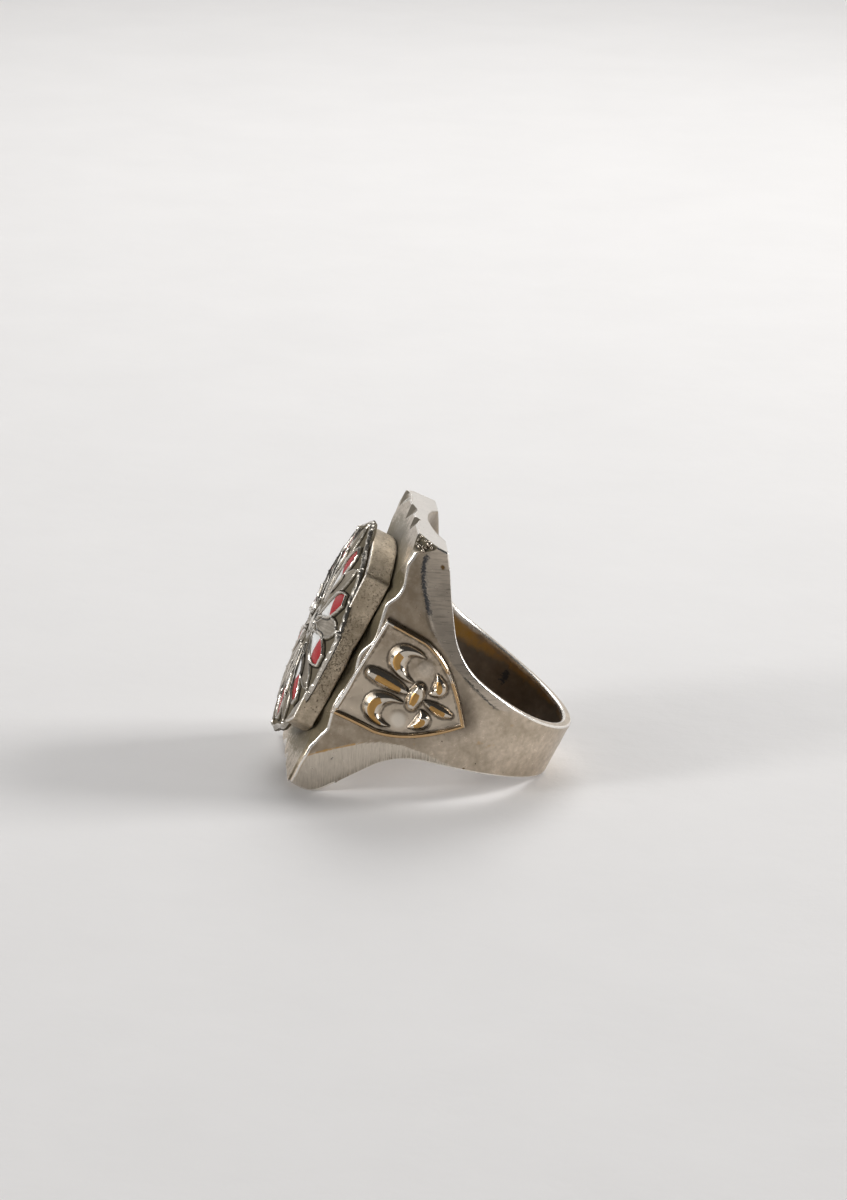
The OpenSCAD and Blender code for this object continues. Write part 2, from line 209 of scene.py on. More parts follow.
class Finish:
    """Adds the nodes of one material, or of the world, and joins them."""

    def __init__(self, name, owner=None, place="Object"):
        self.material = owner or bpy.data.materials.new(name)
        self.material.use_nodes = True
        self.tree = self.material.node_tree
        self.tree.nodes.clear()
        self.place = self.node("ShaderNodeTexCoord").outputs[place]

    def node(self, kind, inputs=None, **settings):
        new = self.tree.nodes.new(kind)
        for key, value in settings.items():
            setattr(new, key, value)
        for key, value in (inputs or {}).items():
            self.put(new.inputs[key], value)
        return new

    def put(self, socket, value):
        """Links a socket to another one, or sets its value."""
        if isinstance(value, bpy.types.NodeSocket):
            self.tree.links.new(value, socket)
        elif value is not None:
            socket.default_value = rgba(value) if socket.type == "RGBA" else value

    def value(self, name):
        """A value that the piece carries at its points."""
        return self.node("ShaderNodeAttribute", attribute_name=name).outputs["Fac"]

    def math(self, operation, a, b=None, c=None):
        new = self.node("ShaderNodeMath", operation=operation)
        for socket, value in zip(new.inputs, (a, b, c)):
            self.put(socket, value)
        return new.outputs[0]

    def chain(self, operation, values):
        """One operation carried through several values, from the first to the last."""
        total = values[0]
        for value in values[1:]:
            total = self.math(operation, total, value)
        return total

    def times(self, *factors):
        """The product of several values."""
        return self.chain("MULTIPLY", factors)

    def most(self, *values):
        """The largest of several values."""
        return self.chain("MAXIMUM", values)

    def moved(self, value, share, amount):
        """A value to which the amount is added as far as the share says."""
        return self.math("MULTIPLY_ADD", share, amount, value)

    def thinned(self, share, noise, *stops):
        """A share, or a value of the piece, that the noise lets through as far as the stops say."""
        share = self.value(share) if isinstance(share, str) else share
        return self.times(share, self.ramp(noise, *stops))

    def where(self, value, noise, spread, low, high):
        """Where a value, shifted by the noise times the spread, has passed from low to high: patches with a
        worn border that follow the value."""
        value = self.value(value) if isinstance(value, str) else value
        shifted = self.moved(value, self.math("SUBTRACT", noise, 0.5), spread)
        return self.ramp(shifted, (low, 0.0), (high, 1.0))

    def turned(self, scale, angles=(0, 0, 0)):
        """Object coordinates, turned and then stretched, so that a pattern runs along the ring."""
        first = self.node("ShaderNodeMapping", {"Vector": self.place, "Rotation": angles})
        return self.node("ShaderNodeMapping", {"Vector": first.outputs[0], "Scale": scale}).outputs[0]

    def noise(self, size, detail=3.0, rough=0.55, vector=None):
        """Noise from 0 to 1 whose largest features are about size metres wide."""
        new = self.node("ShaderNodeTexNoise", {
            "Vector": vector or self.place, "Scale": 1 / size, "Detail": detail, "Roughness": rough})
        return new.outputs["Fac"]

    def cells(self, size):
        """Distance to scattered points that lie about size metres apart."""
        new = self.node("ShaderNodeTexVoronoi", {"Vector": self.place, "Scale": 1 / size})
        return new.outputs["Distance"]

    def pits(self, apart, size, share):
        """Small round pits, apart metres from each other and size times as wide, in patches that cover the
        share."""
        dots = self.ramp(self.cells(apart), (size, 1.0), (size * 2.2, 0.0))
        level = 0.5 + 0.2 * (0.5 - share)
        return self.thinned(dots, self.noise(4 * apart, 2), (level, 0.0), (level + 0.08, 1.0))

    def ramp(self, value, *stops, interpolation="LINEAR"):
        """A colour or grey for each value, between stops of (place, colour or grey)."""
        new = self.node("ShaderNodeValToRGB", {"Fac": value})
        ramp = new.color_ramp
        ramp.interpolation = interpolation
        while len(ramp.elements) < len(stops):
            ramp.elements.new(1.0)
        for element, (place, shade) in zip(ramp.elements, stops):
            element.position = place
            element.color = rgba(shade)
        return new.outputs["Color"]

    def mix(self, share, a, b, blend="MIX"):
        """The second colour over the first one, as far as the share says."""
        new = self.node("ShaderNodeMix", data_type="RGBA", blend_type=blend, clamp_factor=True)
        for socket, value in ((new.inputs[0], share), (new.inputs[6], a), (new.inputs[7], b)):
            self.put(socket, value)
        return new.outputs[2]

    def coated(self, tone, *coats):
        """A tone under several coats, each a share and a colour, from the lowest to the uppermost."""
        for share, shade in coats:
            tone = self.mix(share, tone, shade)
        return tone

    def bump(self, height, distance, strength, after=None):
        """Bends the normal as a relief of that height, in metres, would."""
        return self.node("ShaderNodeBump", {
            "Height": height, "Distance": distance, "Strength": strength, "Normal": after}).outputs[0]

    def surface(self, **sockets):
        shader = self.node("ShaderNodeBsdfPrincipled", {k.replace("_", " "): v for k, v in sockets.items()})
        self.node("ShaderNodeOutputMaterial", {"Surface": shader.outputs[0]})
        return self.material


# The casting

def edge_line(half_w, start_n, corner_r):
    """One edge of the shoulder in the side view, as n and distance from the middle: a long arc that flares
    from the back, a hollow arc, a straight rise and a corner rounded by a parabola through its two tangent
    points."""
    a = np.linspace(0, 1, 40)[:, None]
    p0 = np.array([-BAND_R, half_w])
    turn = math.asin(math.sin(FLARE) + (start_n + BAND_R) / FLARE_R)
    t = FLARE + (turn - FLARE) * a
    flare = p0 + FLARE_R * np.hstack([np.sin(t) - math.sin(FLARE), math.cos(FLARE) - np.cos(t)])
    c = flare[-1] + SWEEP_R * np.array([-math.sin(turn), math.cos(turn)])
    t = turn + (EDGE_RISE - turn) * a
    sweep = c + SWEEP_R * np.hstack([np.sin(t), -np.cos(t)])
    back = np.array([-math.cos(EDGE_RISE), -math.sin(EDGE_RISE)])
    corner = sweep[-1] - back * (HEAD_L - sweep[-1, 1]) / math.sin(EDGE_RISE)
    reach = corner_r / math.tan((math.pi - EDGE_RISE) / 2)
    b, f = corner + back * reach, corner + np.array([reach, 0])
    bend = (1 - a) ** 2 * b + 2 * a * (1 - a) * corner + a ** 2 * f
    return np.vstack([p0 - [1, math.tan(FLARE)], flare, sweep[1:], bend, [FACE_N + 1, HEAD_L]])


# The upper and the lower edge: half width of the band, where the hollow arc begins and the corner's radius
UPPER_EDGE = edge_line(2.2, 0.5, 0.4)
LOWER_EDGE = edge_line(3.0, 1.5, 2.2) * [1, -1]

# Lift of the upper edge under the head, and where along n it begins and is full
HEAD_LIFT, LIFT_SPAN = 0.27, (6.2, 8.3)


def upper(n):
    """Height of the upper rim at n: the table, lifted a little toward the face and never above the head."""
    return np.minimum(np.interp(n, *UPPER_EDGE.T) + HEAD_LIFT * smooth(n, *LIFT_SPAN), HEAD_L)


def lower(n):
    """Height of the lower rim at n, from its table."""
    return np.interp(n, *LOWER_EDGE.T)


def side_s(n):
    """Half width of the casting at n: a slanted plane that touches the band's circle, and then the circle."""
    plane = BAND_R / math.cos(SLANT) - n * math.tan(SLANT)
    return np.where(n > TOUCH_N, plane, np.sqrt(np.maximum(BAND_R ** 2 - np.square(n), 0)))


# Inner border of the bevel along the upper edge, and the crease above the lower one, as (n, l)
UPPER_GROOVE = np.array([
    (10.3, 13.3), (10.24, 12.98), (10.39, 12.21), (10.36, 11.6), (10.19, 10.96), (9.81, 10.13), (9.23, 9.1),
    (8.5, 8.29), (7.59, 7.05), (6.73, 6.11), (5.38, 5.2), (3.51, 4.15), (2.15, 3.6), (1.03, 3.18),
    (0.09, 2.87), (-0.93, 2.57), (-1.87, 2.45), (-2.61, 2.54), (-3.12, 2.75), (-3.45, 3.1)])
LOWER_CREASE = np.array([
    (11.6, -10.3), (10.94, -9.7), (9.4, -8.15), (7.73, -6.6), (6.05, -5.45), (4.2, -4.7), (2.0, -4.3),
    (-0.5, -4.2), (-1.5, -4.6)])
STRIP = np.vstack([UPPER_GROOVE, [(-3.45, 3.4), (0, 4.4), (3, 5.4), (5.6, 8.4), (8.4, 14)]])
FOOT_STRIP = np.vstack([
    LOWER_CREASE, [(-1.5, -5), (2, -5.6), (4, -6.6), (6.5, -9.6), (8, -13.5), (11.6, -13.5)]])

# Soot, stains and painted shadow on the shoulder: a dark line of painted shadow below the strip, and spots
# as (n, l, size)
SHADOW_LINE = np.array([(2.07, 3.7), (1.2, 3.42), (0.31, 3.06), (-0.8, 2.66), (-1.84, 2.37)])
SOOT_SPOTS = [(11.1, -8.45, 0.2), (9.04, -9.06, 0.11), (-3.4, 0.2, 0.07), (3.4, -3.8, 0.08)]
STAINS = [(8.54, 11.65, 0.24), (-1.72, -3.99, 0.15)]

# A small ding in the shoulder: its place (n, l), its radius and its depth
DING, DING_R, DING_DEPTH = (-2.9, 1.2), 0.28, 0.035

# Height of the unevenness that hand filing left on the shoulder, on the face and along the worn edge
SHOULDER_RIPPLE, FACE_RIPPLE, EDGE_RIPPLE = 0.014, 0.012, 0.015

# How far the arris between face and shoulder is worn back along the shoulder, as (l, distance), with its
# cusps between the scallops
EDGE_WEAR = np.array([
    (-14, 0.27), (-10.3, 0.26), (-9.0, 0.27), (-8.5, 0.44), (-7.6, 0.61), (-6.8, 0.9), (-5.9, 0.67),
    (-4.75, 0.39), (-3.7, 0.4), (-2.9, 0.49), (-2.2, 0.66), (-1.1, 0.74), (-0.2, 0.44), (0.55, 0.25),
    (1.35, 0.35), (2.45, 0.78), (3.4, 0.71), (4.3, 0.52), (5.3, 0.33), (6.2, 0.22), (7.2, 0.7), (8.0, 0.81),
    (8.7, 0.69), (9.4, 0.43), (10.3, 0.2), (11.2, 0.29), (14, 0.25)])

# More wear at the upper end of that arris, on the near and on the far side: how much, where along the
# finger it begins and is full, and the legs of the broken corner on the face and on the shoulder for each
# unit of it
CORNER_WEAR = {1: 0.8, -1: 0.3}
CORNER_SPAN = (11.5, 12.9)
CORNER_LEGS = (1.41, 1.6)

# File notches in the end edges of the face: the place of their deepest line, the widths of the slope that
# rises from it toward the near side and of the wall that faces the near side, and their length on the face
NOTCHES = [(-6.8, 2.1, 0.9, 1.5), (-2.1, 2.1, 1.0, 1.3), (1.75, 1.9, 0.6, 1.15)]


def worn_edge(l):
    """Wear of the long arris at l: the table, softened by taking its mean over three nearby places."""
    return sum(np.interp(l + d, *EDGE_WEAR.T) for d in (-0.2, 0, 0.2)) / 3


def notch_depth(s):
    """Length of the file notches on the face at the places s: each falls evenly to both sides of its deepest
    line."""
    depths = [
        long * np.minimum(1 - (s - place) / near, 1 + (s - place) / far)
        for place, near, far, long in NOTCHES]
    return np.maximum(np.max(depths, axis=0), 0)


def notch_wall(s):
    """Whether the places s lie on a notch's wall that faces the near side."""
    return np.any([(s > place - far) & (s < place + 0.05) for place, _, far, _ in NOTCHES], axis=0)


def shoulder_relief(n, l, slope, groove):
    """How far the outer side stands off its plain form: two facets that fall away from the grooves toward the
    edges, the grooves themselves, a small ding and the ripples of hand filing."""
    to_groove = line_distance(n, l, UPPER_GROOVE)
    to_crease = line_distance(n, l, LOWER_CREASE)
    strip, foot = inside(n, l, STRIP), inside(n, l, FOOT_STRIP)
    relief = -slope * (np.where(strip, to_groove, 0) + np.where(foot, to_crease, 0))
    relief -= groove * blob(to_groove, 0.14) * smooth(l, 5.4, 6.6)
    relief -= 0.6 * groove * blob(line_distance(n, l, SHADOW_LINE), 0.12)
    dn, dl = n - DING[0], l - DING[1]
    relief -= DING_DEPTH * blob(np.hypot(dn, dl) - DING_R, DING_R / 2) * smooth(dn, -0.2, 0.1)
    return relief + SHOULDER_RIPPLE * ripples(n, l, 5) * smooth(12.5 - np.abs(l), 0, 1)


def arris_rows(corner, first, last, tight):
    """Seven points across an arris that is broken by a flat from first to last: the ends of the flat are
    rounded over the distance tight with the weights 1, 2, 1."""
    ab = last - first
    e = np.minimum(tight, 0.35 * np.linalg.norm(ab, axis=-1, keepdims=True))
    along = unit(ab)
    a0, a2 = first + e * unit(first - corner), first + e * along
    b0, b2 = last - e * along, last + e * unit(last - corner)
    return np.stack([
        a0, (a0 + 2 * first + a2) / 4, a2, (first + last) / 2, b0, (b0 + 2 * last + b2) / 4, b2])


# Legs of the worn edge between face and shoulder along the face: the least one, its growth with the wear
# and the wear at which it is least
FACE_LEG, LEG_GROWTH, LEAST_WEAR = 0.14, 2.3, 0.2

# Columns of one half on the face, on each of the two parts of the worn edge, on the head, on the shoulder's
# plane and on the round band; the share of the worn edge that is flat; and rows of the outside and of each
# rim
FACE_COLS, EDGE_COLS, HEAD_COLS, PLANE_COLS, ROUND_COLS = 100, 6, 16, 46, 76
FLAT = 0.7
OUTSIDE_ROWS, RIM_ROWS = 128, 12

# How far the ends of a worn flat are rounded, and the gaps from an arris to the next row, on the rim and on the
# outside
ARRIS_SOFT, RIM_GAP, OUTSIDE_GAP = 0.05, 0.06, 0.05

# Angles in the bore at the end of the face's columns and of the worn edge's
FACE_ANGLE, EDGE_ANGLE = 0.38, 0.41


def casting_columns():
    """The columns of one half from the middle of the face to the middle of the back. For each, its kind: 0
    on the face, 1 on the worn edge, 2 on the head, 3 on the shoulder's plane and 4 on the round band. Then
    its place there: a share for the first three kinds, n for the plane and the angle for the band. Then its
    angle in the bore."""
    face = np.linspace(0, 1, FACE_COLS)[:-1]
    edge = np.concatenate([np.linspace(0, FLAT, EDGE_COLS), np.linspace(FLAT, 1, EDGE_COLS)[1:]])
    head = np.linspace(0, 1, HEAD_COLS)[1:]
    plane = np.linspace(REAR_N, TOUCH_N, PLANE_COLS)[1:]
    turn = np.linspace(math.acos(TOUCH_N / BAND_R), math.pi, ROUND_COLS)[1:]
    kinds = np.repeat([0, 1, 2, 3, 4], [len(face), len(edge), len(head), len(plane), len(turn)])
    bore = np.concatenate([
        FACE_ANGLE * face,
        FACE_ANGLE + (EDGE_ANGLE - FACE_ANGLE) * edge,
        EDGE_ANGLE + (math.acos(REAR_N / FINGER_R) - EDGE_ANGLE) * head,
        np.arccos(plane / FINGER_R),
        np.where(turn > math.pi / 2, turn, np.arccos(np.clip(BAND_R * np.cos(turn) / FINGER_R, 0, 1)))])
    return kinds, np.concatenate([face, edge, head, plane, turn]), bore


def edge_legs(l, side):
    """Legs of the worn edge between face and shoulder at the heights l, along the face and along the
    shoulder."""
    worn = worn_edge(l if side > 0 else l + 0.5)
    end = CORNER_WEAR[side] * smooth(l, *CORNER_SPAN)
    rough = EDGE_RIPPLE * ripples(l, side + 0 * l, 11, 9, 1.6)
    on_face, on_side = CORNER_LEGS
    return FACE_LEG + LEG_GROWTH * (worn - LEAST_WEAR) + on_face * end + rough, worn + on_side * end + rough


def casting_outside(l, side, size):
    """Points of the outside for each column at the heights l, moved outward by the relief there. The worn
    edge is a flat whose end at the shoulder is rounded with the weights 1, 2, 1."""
    kinds, share, _ = casting_columns()
    on_face, on_side = edge_legs(l, side)
    first_s = BAND_R / math.cos(SLANT) - FACE_N * math.tan(SLANT) - on_face
    last_n = FACE_N - on_side
    first = np.stack([0 * l + FACE_N, first_s], -1)
    last = np.stack([last_n, side_s(last_n)], -1)
    soft = np.minimum(0.16, 0.35 * np.linalg.norm(last - first, axis=-1, keepdims=True))
    b0, b2 = last - soft * unit(last - first), last + soft * np.array([-math.cos(SLANT), math.sin(SLANT)])
    k, u = np.broadcast_to(kinds, l.shape), np.broadcast_to(share, l.shape)
    v = np.clip(u / FLAT, 0, 1)[..., None]
    w = np.clip((u - FLAT) / (1 - FLAT), 0, 1)[..., None]
    rounded = (1 - w) ** 2 * b0 + 2 * w * (1 - w) * last + w * w * b2
    worn = np.where(w > 0, rounded, first + v * (b0 - first))
    start = b2[..., 0]
    n = np.select(
        [k == 0, k == 1, k == 2, k == 3],
        [np.full(l.shape, FACE_N), worn[..., 0], start + u * (REAR_N - start), u], BAND_R * np.cos(u))
    s = np.select([k == 0, k == 1, k == 4], [u * first_s, worn[..., 1], BAND_R * np.sin(u)], side_s(n))
    angle = np.select([k == 0, k <= 3], [0 * u, math.pi / 2 - SLANT + 0 * u], u)
    relief = shoulder_relief(n, l, size["bevel_slope"], size["groove"])
    relief = relief * np.where(k == 1, smooth(u, 0.1, 0.75), k > 1)
    relief = relief + FACE_RIPPLE * ripples(s, l, 8) * (k == 0)
    # The far upper corner of the face is bent forward
    bent = 0.3 * smooth(s, 3, 8.3) * smooth(l, 8.5, 13) * smooth(n, 9, 11.3) if side < 0 else 0
    return np.stack([n + relief * np.cos(angle) + bent, l, s + relief * np.sin(angle)], -1)


def rim_points(start, toward, line, share):
    """Points of a rim at the share of the way from the outside to the bore."""
    at = start + share * toward
    return np.stack([at[:, 0], line(at[:, 0]), at[:, 1]], -1)


def casting_half(side, size):
    """One half of the casting as a grid of sections, side being 1 for the near half. Each column is a
    closed section that runs up the bore's wall, out over the upper rim, down the outside and back over the
    lower rim."""
    kinds, share, bore = casting_columns()
    inner = FINGER_R * np.stack([np.cos(bore), np.sin(bore)], -1)
    at_top, at_foot = (casting_outside(np.full(kinds.shape, l), side, size) for l in (HEAD_L, -HEAD_L))
    span = np.cumsum(np.r_[0, np.hypot(np.diff(at_top[:, 0]), np.diff(at_top[:, 2]))])
    across_shares = np.linspace(0, 1, RIM_ROWS)[1:-1]

    rims = []
    for edge, line, sign in ((upper(at_top[:, 0]), upper, 1), (lower(at_foot[:, 0]), lower, -1)):
        steep = np.sqrt(1 + np.square(np.gradient(edge, span)))
        sharp = casting_outside(edge, side, size)
        cut = notch_depth(side * sharp[:, 2]) * (kinds < 1) * (1 if sign > 0 else 0.5)
        drop = size["edge_round"] * np.minimum(steep, 2.2) + cut
        first = casting_outside(edge - sign * drop, side, size)
        start = sharp[:, [0, 2]]
        toward = inner - start
        width = np.linalg.norm(toward, axis=-1, keepdims=True)
        begin = (size["edge_round"] + 0.4 * cut)[:, None] / width
        last = 1 - size["bore_round"] / width
        sharp[:, 1] = np.minimum(edge * sign, line(sharp[:, 0]) * sign) * sign
        outer_arris = arris_rows(sharp, first, rim_points(start, toward, line, begin), ARRIS_SOFT)
        begin = begin + RIM_GAP / width
        across = [rim_points(start, toward, line, begin + (last - begin) * f) for f in across_shares]
        at_bore = np.stack([inner[:, 0], line(inner[:, 0]), inner[:, 1]], -1)
        wall = at_bore - [0, sign * size["bore_round"], 0]
        bore_arris = arris_rows(at_bore, rim_points(start, toward, line, last), wall, ARRIS_SOFT)
        rims.append((outer_arris, np.array(across), bore_arris))
    (top_outer, top_across, top_bore), (low_outer, low_across, low_bore) = rims
    first, last = top_outer[0][:, 1] - OUTSIDE_GAP, low_outer[0][:, 1] + OUTSIDE_GAP
    outside = np.array([
        casting_outside(first + (last - first) * f, side, size) for f in np.linspace(0, 1, OUTSIDE_ROWS)])
    w0, w1 = low_bore[-1][:, 1], top_bore[-1][:, 1]
    wall = np.array([np.stack([inner[:, 0], w0 + (w1 - w0) * f, inner[:, 1]], -1) for f in across_shares])
    parts = [
        wall, top_bore[::-1], top_across[::-1], top_outer[::-1], outside, low_outer, low_across, low_bore]
    kind = np.repeat([0, 1, 2, 3, 4, 3, 2, 1], [len(p) for p in parts])
    points = np.concatenate(parts)
    points[..., 2] *= side
    return points, kind, kinds + 0.9 * share * (kinds == 1)


def casting_grid(size):
    """Both halves side by side as one closed grid, with the kind of each row and of each column."""
    near, rows, cols = casting_half(1, size)
    far, _, _ = casting_half(-1, size)
    return np.concatenate([near, far[:, -2:0:-1]], axis=1), rows, np.concatenate([cols, cols[-2:0:-1]])


# The shield's lean against the finger axis, the distance of its plane there, and its point and straight edge
SHIELD_TILT = math.radians(12)
SHIELD_OUT = 8.86 + 11 * math.tan(SHIELD_TILT)
SHIELD_TIP, SHIELD_TOP = 0.1, 11.03

# Half width of the shield at its straight edge, and the share of its length at which its flanks turn in
SHIELD_HALF, SHIELD_HIP = 5.12, 0.62


def shield_plan(u, t):
    """Place (p, q) on the shield at the share u of the way from its point to the straight edge and the
    share t of the way from its middle to its upper side: nearly straight flanks to the hip, then arcs to
    the point. The straight edge leans a little and the lower flank is narrower."""
    x = np.clip((SHIELD_HIP - u) / SHIELD_HIP, 0, 1)
    half = SHIELD_HALF * (1 - 0.22 * x - 0.78 * x * x)
    p = SHIELD_TIP + u * (SHIELD_TOP - SHIELD_TIP + 0.27 * (1 - t))
    return p, half * t - 0.24 * (1 - u) ** 2 - 0.28 * np.sin(math.pi * u) * np.minimum(t, 0)


def shield_outline():
    """Outline of the shield as (p, q): its upper side from the straight edge to the point, and its lower side
    back."""
    u = np.linspace(1, 0, 50)
    high, low = np.stack(shield_plan(u, 1), -1), np.stack(shield_plan(u, -1), -1)
    return np.vstack([high, low[-2::-1], high[:1]])


def casting_values(points, rows, cols):
    """What the casting's finish needs at each point: rubbed arrises, the scallops, notches with painted shade
    on their near walls, bore and rims, painted light on the head's upper end, the strips along the edges,
    painted shade on the shoulder's middle, a painted shadow beside the shield, and soot with painted
    shadow, brass, stains and grime by their distance from the lines and spots where they lie. A row's kind
    is 0 on the bore's wall, 1 and 3 on an arris, 2 on a rim and 4 on the outside."""
    n, l, s = np.moveaxis(points, -1, 0)
    row, col = np.broadcast_to(rows[:, None], n.shape), np.broadcast_to(cols[None, :], n.shape)
    outside = (row == 4) | (row == 3)
    side = (col >= 2) & outside
    edge = (col < 2) & outside
    near = s > 0
    to_groove = line_distance(n, l, UPPER_GROOVE)
    to_crease = line_distance(n, l, LOWER_CREASE)
    to_shield = line_distance(n * 1.02, l, shield_outline())
    to_riser = line_distance(s, l, riser_outline(0)[::6])
    strip = inside(n, l, STRIP) & side
    window = smooth(l, 6.4, 7.6) * (1 - smooth(l, 11.8, 12.6))
    # Soot and painted shadow along the groove near the head, and painted shadow along the dark line below the
    # strip
    soot_and_shadow = np.where(strip, 1.3 - to_groove / 0.5, 1.3 - to_groove / 0.2) * window
    soot_and_shadow = np.where(near, np.maximum(soot_and_shadow, 0.8 - line_distance(n, l, SHADOW_LINE) / 0.35), soot_and_shadow)
    for dn, dl, size in SOOT_SPOTS:
        soot_and_shadow = np.where(near, np.maximum(soot_and_shadow, 1.5 - np.hypot(n - dn, l - dl) / size), soot_and_shadow)
    stain = sum(blob(np.hypot(n - dn, l - dl), size) for dn, dl, size in STAINS)
    arris = smooth(col, 1.6, 1.8) * edge
    # Painted shade on the notches' walls that face the near side
    cut = (row == 3) * (col < 1) * notch_wall(s) * (l > 0)
    spot = 1.3 * blob(np.hypot((np.abs(np.arctan2(s, n)) - 2.136) * 22, (l - 0.8) * 1.1), 1.0) * (s < 0)
    # Painted light on the upper end of the head and at the top of the face's edge
    end_light = np.maximum((row == 2) * (l > 9.5), edge * smooth(l, 9.0, 10.8) * 0.25) * (1 - cut)
    solder = near * (col > 0.99) * edge * smooth(l, 11.5, 12.1)
    soot_and_shadow = np.maximum(soot_and_shadow, 0.6 * solder)
    brass = np.clip(1 - to_crease / 0.18, 0, 1) * smooth(n, 6.2, 7.6) * side
    rubbed = np.maximum(np.where((row == 3) | (row == 1) & (l < 9), 1.0, 0.0), arris)
    dirty = (col < 1.7) * outside * (1.2 - 0.75 * smooth(to_riser, 0.9, 3.0))
    return {
        "rub": rubbed * (1 - cut) * (1 - solder),
        "scallop": np.where((col >= 1) & (col < 1.6) & outside, 1.0, 0.0),
        "grime": np.maximum(dirty, 1.3 * solder),
        "shaded_notch_wall": cut,
        "end_light": end_light * (1 - solder),
        # Painted shade on the shoulder's middle
        "panel": side * smooth(n, 1.0, 6.0) * ~strip,
        "brink": side * (1 - smooth(l - lower(n), 0.1, 1.4)) * smooth(n, -2, 2) * (1 - smooth(n, 8, 10)),
        "bore": np.where(row == 0, 1.0, np.where(row == 1, 0.5, 0.0)),
        "strip": np.where(strip, 1.0, 0.0),
        "foot": np.where(inside(n, l, FOOT_STRIP) & side, 1.0, 0.0),
        "soot_and_shadow": np.where(side | (solder > 0), np.clip(soot_and_shadow, 0, 1.5), np.where(row == 0, spot, 0)),
        "brass": np.maximum(brass, arris * (1 - smooth(l, -9.6, -8.9))),
        "stain": np.where(near & side, np.clip(stain, 0, 1), 0),
        "shield": np.where(side, np.minimum(to_shield, 3.0), 3.0),
        # Painted shadow beside the shield
        "shadow_by_shield": near * side * blob(to_shield, 1.25) * (1 - smooth(n, 0.8, 3.4)) * blob(l - 1.2, 3.4),
        "ochre": (np.where(row == 0, smooth(l, 1.0, 2.2), 0) + 0.6 * (row == 1)) * (1 - smooth(l, 6.5, 8.5)),
    }


# The shields

# Strokes of the lily in the shield's plane: p toward the face, q along the finger, half width of the stroke
# there
CENTRE_PETAL = [
    (9.95, 0, 0.62), (9.4, 0, 0.72), (8.54, 0, 0.75), (7.62, 0, 0.68), (6.8, 0, 0.48), (6.2, 0, 0.2)]
CURLED_PETAL = [
    (6.2, 1.05, 0.12), (7.15, 1.2, 0.36), (7.8, 1.52, 0.6), (8.35, 2.08, 0.84), (8.4, 2.75, 0.88),
    (8.1, 3.28, 0.68), (7.5, 3.6, 0.44), (6.85, 3.7, 0.28), (6.25, 3.62, 0.08)]
SIDE_LEAF = [(4.62, 2.82, 0.1), (4.15, 2.35, 0.42), (3.77, 1.73, 0.7), (4.0, 1.2, 0.42), (4.38, 0.92, 0.14)]
LOWER_LEAF = [(4.4, 0, 0.22), (3.52, -0.05, 0.5), (2.63, -0.08, 0.55), (1.8, 0, 0.3)]
KNOT = [(5.4, 0.85, 0.6), (5.38, 0, 0.8), (5.34, -0.85, 0.6)]
CURL_BALL = [(5.75, 2.72, 0.75), (5.76, 2.7, 0.75)]


def curved(table, steps):
    """A smooth line through the rows of a table, in that many pieces from row to row: the cubic that passes
    through the middle two of four rows, parallel there to the line between their neighbours."""
    t = np.asarray(table, float)
    rows = np.vstack([2 * t[0] - t[1], t, 2 * t[-1] - t[-2]])
    f = np.linspace(0, 1, steps, endpoint=False)[None, :, None]
    a, b, c, d = (rows[k:len(rows) - 3 + k, None] for k in range(4))
    line = b + 0.5 * f * (c - a + f * (2 * a - 5 * b + 4 * c - d + f * (3 * b - a - 3 * c + d)))
    return np.vstack([line.reshape(-1, t.shape[1]), t[-1:]])


def stroke(p, q, table, steps=5):
    """Share of the way from a stroke's middle line to its side, its half width there and the place along
    it: the least of distance over half width, with the half width running evenly along each piece of the
    curved line."""
    t = curved(table, steps)
    t[:, 2] = np.maximum(t[:, 2], 0.04)
    a, d = t[:-1], t[1:] - t[:-1]
    px, py = p[..., None] - a[:, 0], q[..., None] - a[:, 1]
    u = np.clip((px * d[:, 0] + py * d[:, 1]) / (d[:, 0] ** 2 + d[:, 1] ** 2), 0, 1)
    w = a[:, 2] + u * d[:, 2]
    r = np.hypot(px - u * d[:, 0], py - u * d[:, 1]) / w
    best = np.argmin(r, axis=-1)[..., None]
    return [np.take_along_axis(x, best, -1)[..., 0] for x in (r, w, (u + np.arange(len(a))) / steps)]


def mirrored(table):
    """The same stroke on the other side of the lily."""
    return [(p, -q, w) for p, q, w in table]


def pad_profile(r, flat, power=2.0, root=0.5):
    """Cross-section of a raised line: flat out to the share flat, and then down to its side as the root of
    one less the power of the share of the rest of the way."""
    x = np.clip((r - flat) / (1 - flat), 0, 1)
    return np.clip(1 - x ** power, 0, 1) ** root


# The lily's strokes with their height, and the places along each between which its crest is rubbed to the
# brass
LILY = [
    (CENTRE_PETAL, 1.0, 1.0, 3.9), (CURLED_PETAL, 1.0, 2.2, 4.3), (mirrored(CURLED_PETAL), 1.0, 2.4, 6.8),
    (SIDE_LEAF, 0.9, 1.0, 2.6), (mirrored(SIDE_LEAF), 0.9, 0.8, 2.4), (LOWER_LEAF, 0.8, 0.7, 2.4),
    (KNOT, 1.25, 0.5, 1.9)]


